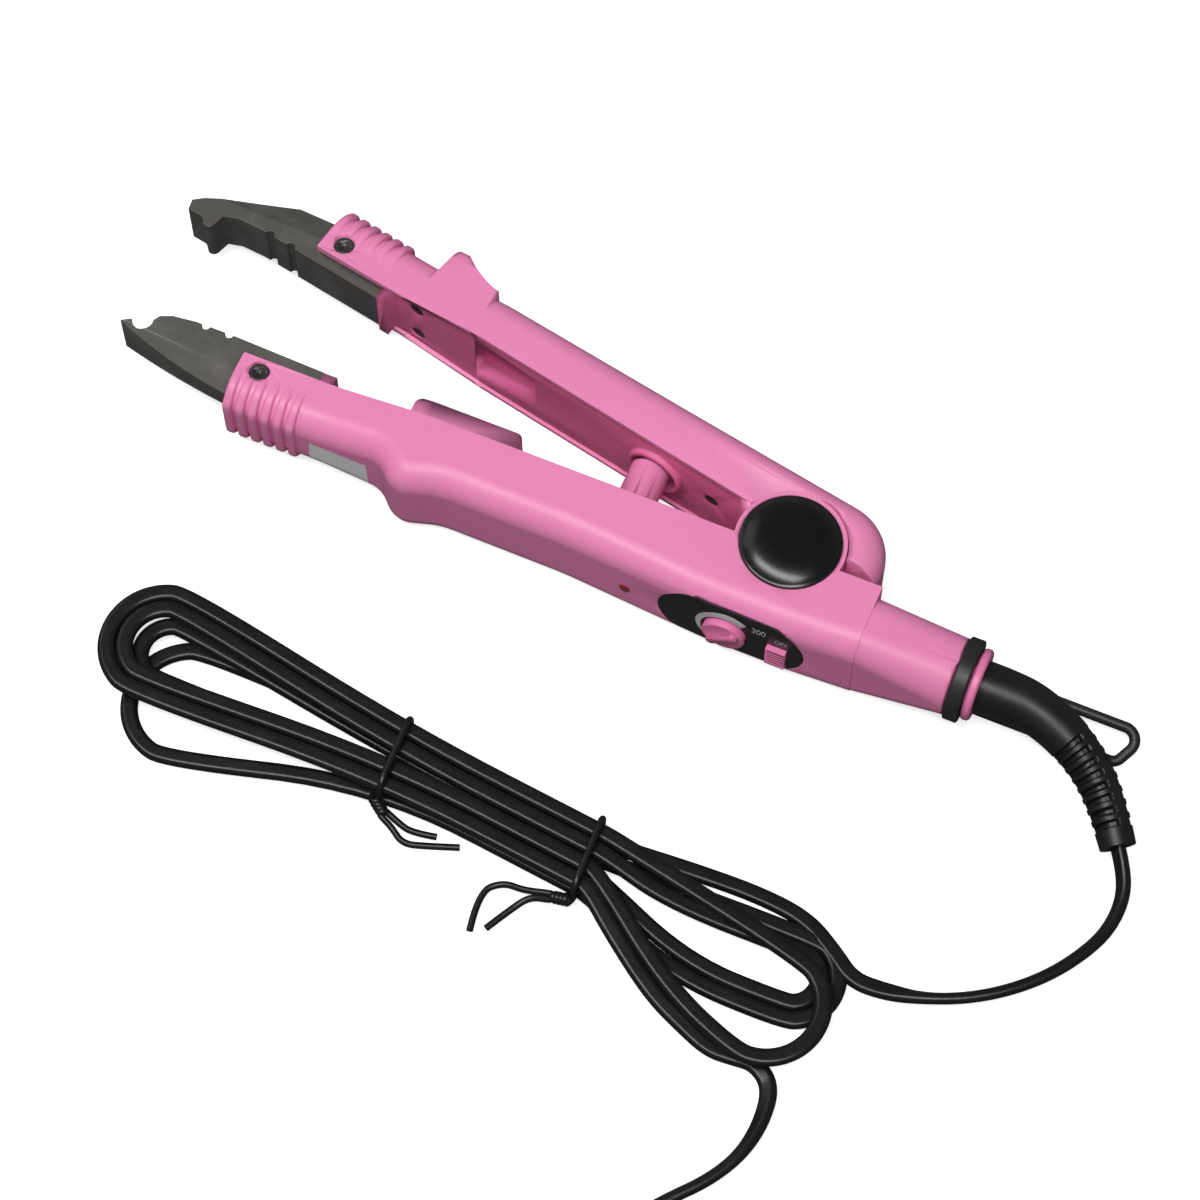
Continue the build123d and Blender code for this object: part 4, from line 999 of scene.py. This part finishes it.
@dataclass
class MainsLead:
    """The whole mains lead on one spline: free run, tied hank, tail and plug."""

    core: float = 1.42
    core_apart: float = 0.68
    core_step: float = 4.0
    groove: float = 0.12
    section_points: int = 32
    on_edge: float = 1.15
    flat_at_entry: int = 2
    flat_at_plug: int = 4
    tail_roll: int = 3
    waist_lift: float = 1.75
    lane_pitch: float = 4.35
    lobe_points: int = 7
    tie_run: float = 5.0
    free_run: Route = (
        (95.3, -33.2, 4.9), (98.87, -38.35, 3.6), (100.7, -44.7, 2.6), (100.0, -52.4, 2.15),
        (96.8, -59.6, 2.1), (91.5, -67.5, 2.1), (84.2, -74.7, 2.1), (75.6, -80.5, 2.1),
        (66.2, -84.4, 2.1), (57.8, -86.0, 2.0), (50.5, -86.1, 1.8),
    )
    entry: Route = ((44.4, -81.6, 1.7), (36.0, -76.6, 1.7), (24.0, -75.2, 1.7), (8.0, -76.0, 2.4))
    turns: tuple[Turn, ...] = (
        Turn(1.6, 1.5, (-117.5, -83.6, 14.2), 1.6, (12.0, -100.9), (37.6, -90.6, 10.6)),
        Turn(1.6, 0.5, (-126.5, -74.4, 7.3), 4.5, (14.0, -96.9), (37.6, -90.6, 6.4), (6.0, -86.2, 5.6)),
        Turn(5.9, 0.5, (-128.2, -73.9, 9.4), 7.4, (12.4, -105.2), (34.9, -100.2, 13.1)),
        Turn(5.9, 1.5, (-128.2, -73.9, 13.6), 7.4),
    )
    leaving: Route = (
        (-3.8, -98.1, 6.6), (10.2, -107.9, 5.0), (19.6, -111.6, 3.2), (26.8, -114.0, 1.9),
        (32.2, -113.6, 1.6), (37.8, -112.9, 1.6),
    )
    tail: Route = (
        (43.2, -116.8, 1.9), (44.4, -125.6, 2.1), (42.9, -134.4, 2.1), (38.4, -142.6, 2.1),
        (31.8, -150.0, 2.1), (25.8, -158.0, 2.1), (25.4, -168.4, 2.1), (30.6, -178.2, 2.7),
        (39.8, -184.2, 5.4), (51.0, -185.6, 8.7), PLUG_ROOT,
    )

    def _section(self) -> Piece:
        """Section of the flat lead: two cores side by side with a shallow groove between."""
        curve = bpy.data.curves.new("lead-section", "CURVE")
        curve.dimensions = "2D"
        outline = curve.splines.new("POLY")
        outline.points.add(self.section_points - 1)
        outline.use_cyclic_u = True
        for index, point in enumerate(outline.points):
            turn = FULL_TURN * index / self.section_points
            side = math.cos(turn)
            across = self.core * side + self.core_apart * math.tanh(self.core_step * side)
            thick = self.core * math.sin(turn) * (1.0 - self.groove * (1.0 - abs(side)) ** 3)
            point.co = (*metres((across, thick, 0.0)), 1.0)
        return bpy.data.objects.new("lead-section", curve)

    def _lobe(self, lobe: Place, before: Vector, after: Vector, height: float) -> list[Place]:
        """Control points of a turn round a lobe, tangent to the runs on both sides.

        Args:
            lobe: Centre X and Y and radius.
            before: Where the lead comes from.
            after: Where it goes on to.
            height: Height above the table.

        Returns:
            The points, anticlockwise.
        """
        x, y, radius = lobe
        away, back = Vector((x - before.x, y - before.y)), Vector((after.x - x, after.y - y))
        start = math.atan2(away.y, away.x) - math.pi / 2 - math.asin(radius / away.length)
        end = math.atan2(back.y, back.x) - math.pi / 2 + math.asin(radius / back.length)
        step = (end - start) % FULL_TURN / self.lobe_points
        wide = radius / math.cos(step / 2)
        found = []
        for index in range(self.lobe_points):
            turn = start + step * (index + 0.5)
            found.append((x + wide * math.cos(turn), y + wide * math.sin(turn), height))
        return found

    def _hank(self) -> list[Place]:
        """Control points of the hank from its entry to where the tail leaves it."""
        along, aside = hank_axes()
        left, right = Vector((*WAIST_LEFT, 0)), Vector((*WAIST_RIGHT, 0))
        onward = right + along * self.tie_run
        found = list(self.entry)
        for turn in self.turns:
            lifted = UP * (turn.height + self.waist_lift)
            side = aside * turn.lane * self.lane_pitch
            found += [tuple(spot + side + lifted) for spot in (onward, right, left)]
            found += self._lobe(turn.left, left + side, left - side, turn.left_height)
            found += [tuple(spot - side + lifted) for spot in (left, right, onward)]
            if turn.right:
                bowed = Vector((*turn.belly, turn.height))
                found.append(tuple(bowed))
                found += self._lobe(turn.right, bowed, onward + side, turn.height)
            if turn.climb:
                found.append(turn.climb)
        return found + list(self.leaving)

    def build(self) -> None:
        points = [*self.free_run, *self._hank(), *self.tail]
        lead = spline_curve("mains-lead", points)
        lead.data.twist_mode = "Z_UP"
        lead.data.bevel_mode = "OBJECT"
        lead.data.bevel_object = self._section()
        tail_from = len(points) - len(self.tail)
        for index, point in enumerate(lead.data.splines[0].points):
            if index < len(self.free_run) - self.flat_at_entry:
                point.tilt = self.on_edge
            elif tail_from <= index < len(points) - self.flat_at_plug:
                point.tilt = self.on_edge * min(1.0, (index - tail_from + 1) / self.tail_roll)
        settle(lead, Body.LOWER, Finishes.CORD, ["cord_free_run", "cord_hank", "cord_tail"])
        with_lead = Ties().build() + Plug().build()
        tuple(metres(self.free_run[0]))


@dataclass(frozen=True)
class Tie:
    """One wire tie: its CAD node, its place on the hank and its two loose ends from the knot."""

    node: str
    waist: Pair
    first_end: Route
    second_end: Route


@dataclass
class Ties:
    """Two wire ties, each one wire round the bundle with its ends twisted together."""

    radius: float = 0.82
    half_width: float = 9.7
    lean: float = 1.1
    wind: float = 1.1
    low: float = 0.87
    high: float = 10.5
    knot_out: float = 0.9
    knot_height: float = 4.4
    twist_radius: float = 0.86
    twist_length: float = 3.85
    twist_steps: int = 12
    twist_turn: float = 60.0
    ties: tuple[Tie, ...] = (
        Tie(
            "tie_left", WAIST_LEFT,
            ((-61.0, -93.0, 1.6), (-57.2, -95.6, 0.95), (-51.5, -93.8, 0.95), (-44.6, -91.2, 0.95)),
            ((-60.2, -91.4, 1.9), (-56.4, -92.2, 0.95), (-50.6, -90.9, 0.95)),
        ),
        Tie(
            "tie_right", WAIST_RIGHT,
            ((-26.4, -95.6, 2.4), (-31.8, -95.2, 1.2), (-36.2, -99.4, 0.95), (-34.2, -109.0, 0.95)),
            ((-24.6, -96.2, 1.8), (-27.6, -100.4, 0.95), (-31.0, -107.0, 0.95)),
        ),
    )

    def _ring(self, waist: Vector) -> list[Place]:
        """The wire's turn round the bundle, from the knot back to it, as a shallow helix.

        Args:
            waist: Where it goes round, on the bundle's middle line at the table.

        Returns:
            The wire's places.
        """
        along, aside = hank_axes()
        w, low, high = self.half_width, self.low, self.high
        section = [
            (-w, low + 3.33), (-w, low + 1.2), (-w + 1.6, low), (-3.0, low), (3.0, low), (w - 1.6, low),
            (w, low + 1.4), (w, high - 5.0), (w, high - 2.2), (w - 1.8, high), (3.0, high), (-3.0, high),
            (-w + 1.8, high), (-w, high - 2.2), (-w, high - 5.1),
        ]
        found = []
        for index, (across, height) in enumerate(section):
            round_share = 2 * index / (len(section) - 1) - 1.0
            slip = self.wind * round_share + self.lean * (1 - across / w)
            found.append(tuple(waist + aside * across + along * slip + UP * height))
        return found

    def _twist(self, start: Vector, end: Vector, phase: float) -> list[Place]:
        """One strand of the twisted stretch.

        Args:
            start: Where the stretch begins.
            end: Where it ends.
            phase: Angle round the stretch that the strand begins at, in degrees from the top.

        Returns:
            The strand's places.
        """
        along = (end - start).normalized()
        found = []
        for step in range(self.twist_steps + 1):
            away = outward(along, math.radians(phase - step * self.twist_turn)) * self.twist_radius
            found.append(tuple(start.lerp(end, step / self.twist_steps) + away))
        return found

    def build(self) -> list[Piece]:
        """Makes both ties and returns them."""
        along, aside = hank_axes()
        made = []
        for tie in self.ties:
            middle = Vector((*tie.waist, 0))
            knot = middle - aside * (self.half_width + self.knot_out) + along * 2 * self.lean
            knot += UP * self.knot_height
            tip = knot + (Vector(tie.first_end[0]) - knot).normalized() * self.twist_length
            points = [
                *reversed(tie.first_end), *reversed(self._twist(knot, tip, 90.0)),
                *self._ring(middle), *self._twist(knot, tip, -90.0), *tie.second_end,
            ]
            wire = spline_curve(tie.node.replace("_", "-"), points, self.radius)
            made.append(settle(wire, Body.LOWER, Finishes.TIE, [tie.node]))
        return made


@dataclass
class Plug:
    """Moulded two-pin plug with a round neck and grip ridges."""

    length: float = 34.0
    neck_radius: float = 4.5
    half_wide: float = 11.9
    half_tall: float = 8.1
    neck_share: float = 0.22
    widening_share: float = 0.48
    round_power: float = 2.0
    square_power: float = 4.6
    cord_end: Pair = (0.9, 3.0)
    pin_end: Pair = (0.93, 1.6)
    steps: int = 72
    around: int = 64
    sharp_angle: float = 35.0
    ridges: int = 7
    ridge_pitch: float = 1.9
    ridge_radius: float = 0.45
    ridge_length: float = 12.0
    ridge_sides: int = 12
    ridge_rise: float = 8.0
    ridges_from: float = 0.66

    def _section(self, share: float, turn: float) -> float:
        """Radius of the plug's body: round at the cord, a soft rectangle at the pins.

        Args:
            share: Share of its length.
            turn: Angle round it from the top.

        Returns:
            The radius in metres.
        """
        ease = ramp(share, self.neck_share, self.widening_share)
        ease = ease * ease * (3 - 2 * ease)
        half_wide = self.neck_radius + (self.half_wide - self.neck_radius) * ease
        half_tall = self.neck_radius + (self.half_tall - self.neck_radius) * ease
        power = self.round_power + (self.square_power - self.round_power) * ease
        across, up = abs(math.sin(turn)), abs(math.cos(turn))
        reach = ((across / half_wide) ** power + (up / half_tall) ** power) ** (-1 / power)
        at_cord = self.cord_end[0] + share * self.cord_end[1]
        at_pins = self.pin_end[0] + (1 - share) * self.pin_end[1]
        return reach * min(1.0, at_cord, at_pins) * MM

    def build(self) -> list[Piece]:
        """Makes and dresses the plug, and returns its body, its grip and its pins."""
        far = Vector(PLUG_ROOT) + Vector((self.length, 0, 0))
        spots = [metres(Vector(PLUG_ROOT).lerp(far, step / self.steps)) for step in range(self.steps + 1)]
        body = smoothed(swept("plug-moulding", spots, self._section, self.around), self.sharp_angle)
        settle(body, Body.LOWER, Finishes.PLUG, ["plug_body"])
        grip = settle(self._grip(), Body.LOWER, Finishes.PLUG)
        pins = settle(refined("plug_blades", "plug-pins"), Body.LOWER, Finishes.PLATED, ["plug_blades"])
        return [body, grip, pins]

    def _grip(self) -> Piece:
        """Ridges in two rows on the plug's broad faces, by Geometry Nodes."""
        tree = bpy.data.node_groups.new("grip ridges", "GeometryNodeTree")
        sizes = {
            "Count": ("NodeSocketInt", self.ridges),
            "Pitch": ("NodeSocketFloat", self.ridge_pitch * MM),
            "Rise": ("NodeSocketFloat", self.ridge_rise * MM),
        }
        keys = {}
        for label, (kind, _) in sizes.items():
            keys[label] = tree.interface.new_socket(label, in_out="INPUT", socket_type=kind).identifier
        tree.interface.new_socket("Ridges", in_out="OUTPUT", socket_type="NodeSocketGeometry")
        graph = Graph(tree)
        given = graph.node("NodeGroupInput").outputs
        step = graph.node("ShaderNodeCombineXYZ", {"X": given["Pitch"]})
        start = metres(Vector(PLUG_ROOT) + Vector((self.length * self.ridges_from, 0, 0)))
        places = {"Count": given["Count"], "Start Location": start, "Offset": step}
        line = graph.node("GeometryNodeMeshLine", places, mode="OFFSET")
        size = {"Radius": self.ridge_radius * MM, "Depth": self.ridge_length * MM}
        ridge = graph.node(
            "GeometryNodeMeshCylinder", {"Vertices": self.ridge_sides, "Side Segments": 1, **size}
        )
        laid = graph.node("GeometryNodeTransform", {"Geometry": ridge, "Rotation": (math.pi / 2, 0, 0)})
        row = graph.node("GeometryNodeInstanceOnPoints", {"Points": line, "Instance": laid})
        both = graph.node("GeometryNodeJoinGeometry")
        up = graph.node("ShaderNodeCombineXYZ", {"Z": given["Rise"]})
        for side in (1.0, -1.0):
            shift = graph.node("ShaderNodeVectorMath", {0: up, "Scale": side}, operation="SCALE")
            moved = graph.node("GeometryNodeTransform", {"Geometry": row, "Translation": shift})
            tree.links.new(moved.outputs[0], both.inputs[0])
        real = graph.node("GeometryNodeRealizeInstances", {"Geometry": both})
        dressed = {"Geometry": real, "Material": Finishes.PLUG.material()}
        graph.node("NodeGroupOutput", {0: graph.node("GeometryNodeSetMaterial", dressed)})
        piece = piece_of("plug-grip", bpy.data.meshes.new("plug-grip"))
        modifier = piece.modifiers.new("ridges", "NODES")
        modifier.node_group = tree
        for label, (_, value) in sizes.items():
            modifier[keys[label]] = value
        return smoothed(baked(piece), self.sharp_angle)


@dataclass
class Inside(Assembly):
    """Sealed pieces inside the arms."""

    parts: Parts = on_both_arms(leads=Finishes.WIRE) + (
        ("supply_leads", Body.LOWER, Finishes.WIRE),
        ("return_spring", Body.LOWER, Finishes.STEEL),
        ("temperature_control", Body.LOWER, Finishes.PANEL),
        ("switch_body", Body.LOWER, Finishes.PANEL),
        ("pilot_lamp", Body.LOWER, Finishes.LAMP),
        ("circuit_board", Body.LOWER, Finishes.BOARD),
    )


@dataclass(frozen=True)
class Softbox:
    """Soft rectangular lamp, in metres and watts."""

    name: str
    place: Place
    aim: Place
    size: Pair
    power: float

    def build(self) -> None:
        """Hangs the lamp."""
        data = bpy.data.lights.new(self.name, "AREA")
        data.shape = "RECTANGLE"
        data.size, data.size_y = self.size
        data.energy = self.power
        lamp = piece_of(self.name, data)
        lamp.location = self.place
        lamp.rotation_mode = "QUATERNION"
        lamp.rotation_quaternion = (Vector(self.place) - Vector(self.aim)).to_track_quat("Z", "Y")


@dataclass
class Studio:
    """Pale floor, soft light, white surroundings and the camera."""

    camera_place: Place = (110.7, -372.7, 787.2)
    azimuth: float = 23.1
    elevation: float = 64.0
    lens: float = 110.0
    sensor: float = 36.0
    floor_half: float = 2500.0
    floor_level: float = -0.02
    floor_tones: Pair = (0.84, 0.88)
    floor_bounce: float = 0.09
    floor_shown: float = 0.62
    surroundings: float = 0.26
    overhead_loss: float = 0.85
    lamps: tuple[Softbox, ...] = (
        Softbox("key", (-0.12, -0.40, 1.3), (-0.03, -0.04, 0.0), (1.5, 0.42), 19.0),
        Softbox("side", (-1.1, 0.35, 0.9), (0.0, -0.05, 0.0), (0.8, 0.8), 1.6),
    )

    def _floor(self) -> None:
        """Plain floor that the camera sees nearly white, shadows kept."""
        mesh = bpy.data.meshes.new("floor")
        half, level = self.floor_half, self.floor_level
        corners = [(-half, -half), (half, -half), (half, half), (-half, half)]
        mesh.from_pydata([metres((x, y, level)) for x, y in corners], [], [(0, 1, 2, 3)])
        floor = piece_of("floor", mesh)
        made = bpy.data.materials.new("floor paper")
        made.use_nodes = True
        graph = Graph(made.node_tree)
        path = graph.node("ShaderNodeLightPath")
        seen = Signal(graph, path.outputs["Is Camera Ray"])
        seen = (seen + Signal(graph, path.outputs["Is Transmission Ray"])).held()
        dark, pale = ((tone,) * 3 for tone in self.floor_tones)
        paper = graph.blend(graph.noise(60.0, 4.0), dark, pale)
        bounce = graph.blend(seen, (self.floor_bounce,) * 3, paper)
        matt = {"Base Color": bounce, "Roughness": 0.9, "Specular IOR Level": 0.1}
        shader = graph.node("ShaderNodeBsdfPrincipled", matt)
        shown = {"Color": (1, 1, 1, 1), "Strength": seen * self.floor_shown}
        both = graph.node("ShaderNodeAddShader", {0: shader, 1: graph.node("ShaderNodeEmission", shown)})
        graph.node("ShaderNodeOutputMaterial", {"Surface": both})
        mesh.materials.append(made)
        floor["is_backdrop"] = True

    def _world(self) -> None:
        """White seen surroundings, softer as light."""
        world = bpy.data.worlds.new("studio")
        bpy.context.scene.world = world
        world.use_nodes = True
        graph = Graph(world.node_tree)
        path = graph.node("ShaderNodeLightPath")
        seen = Signal(graph, path.outputs["Is Camera Ray"])
        place = graph.node("ShaderNodeTexCoord").outputs["Generated"]
        height = Signal(graph, graph.node("ShaderNodeSeparateXYZ", {0: place}).outputs["Z"])
        room = (1.0 - height * self.overhead_loss) * self.surroundings
        strength = seen + (1.0 - seen) * room
        sky = graph.node("ShaderNodeBackground", {"Color": (1, 1, 1, 1), "Strength": strength})
        graph.node("ShaderNodeOutputWorld", {"Surface": sky})

    def _camera(self) -> None:
        """The camera at the photograph's place."""
        data = bpy.data.cameras.new("camera")
        data.lens = self.lens
        data.sensor_width = self.sensor
        data.sensor_fit = "HORIZONTAL"
        data.clip_start, data.clip_end = 0.01, 20.0
        camera = piece_of("camera", data)
        a, e = math.radians(self.azimuth), math.radians(self.elevation)
        forward = Vector((-math.sin(a) * math.cos(e), math.cos(a) * math.cos(e), -math.sin(e)))
        right = Vector((math.cos(a), math.sin(a), 0))
        turn = Matrix((right, right.cross(forward), -forward)).transposed().to_4x4()
        camera.matrix_world = Matrix.Translation(metres(self.camera_place)) @ turn
        bpy.context.scene.camera = camera

    def build(self) -> None:
        """Sets the whole studio."""
        self._floor()
        self._world()
        for lamp in self.lamps:
            lamp.build()
        self._camera()
        bpy.context.scene.view_settings.view_transform = "Standard"


def write_sizes() -> None:
    """Puts the CAD box and the dressed object's box side by side, as lists of corners."""
    boxes = {"cad": CAD_BOX, "visual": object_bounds()}
    plain = {key: [list(corner) for corner in pair] for key, pair in boxes.items()}


def main() -> None:
    """Builds the studio and the iron's dress in order."""
    logging.basicConfig(level=logging.INFO)
    iron = (Arms(), Jaws(), Hinge(), Controls(), RearEnd(), BendGuard(), MainsLead(), Inside())
    for assembly in (Studio(), *iron):
        assembly.build()
        LOG.info("%s done", type(assembly).__name__)
    write_sizes()


if __name__ == "__main__":
    main()
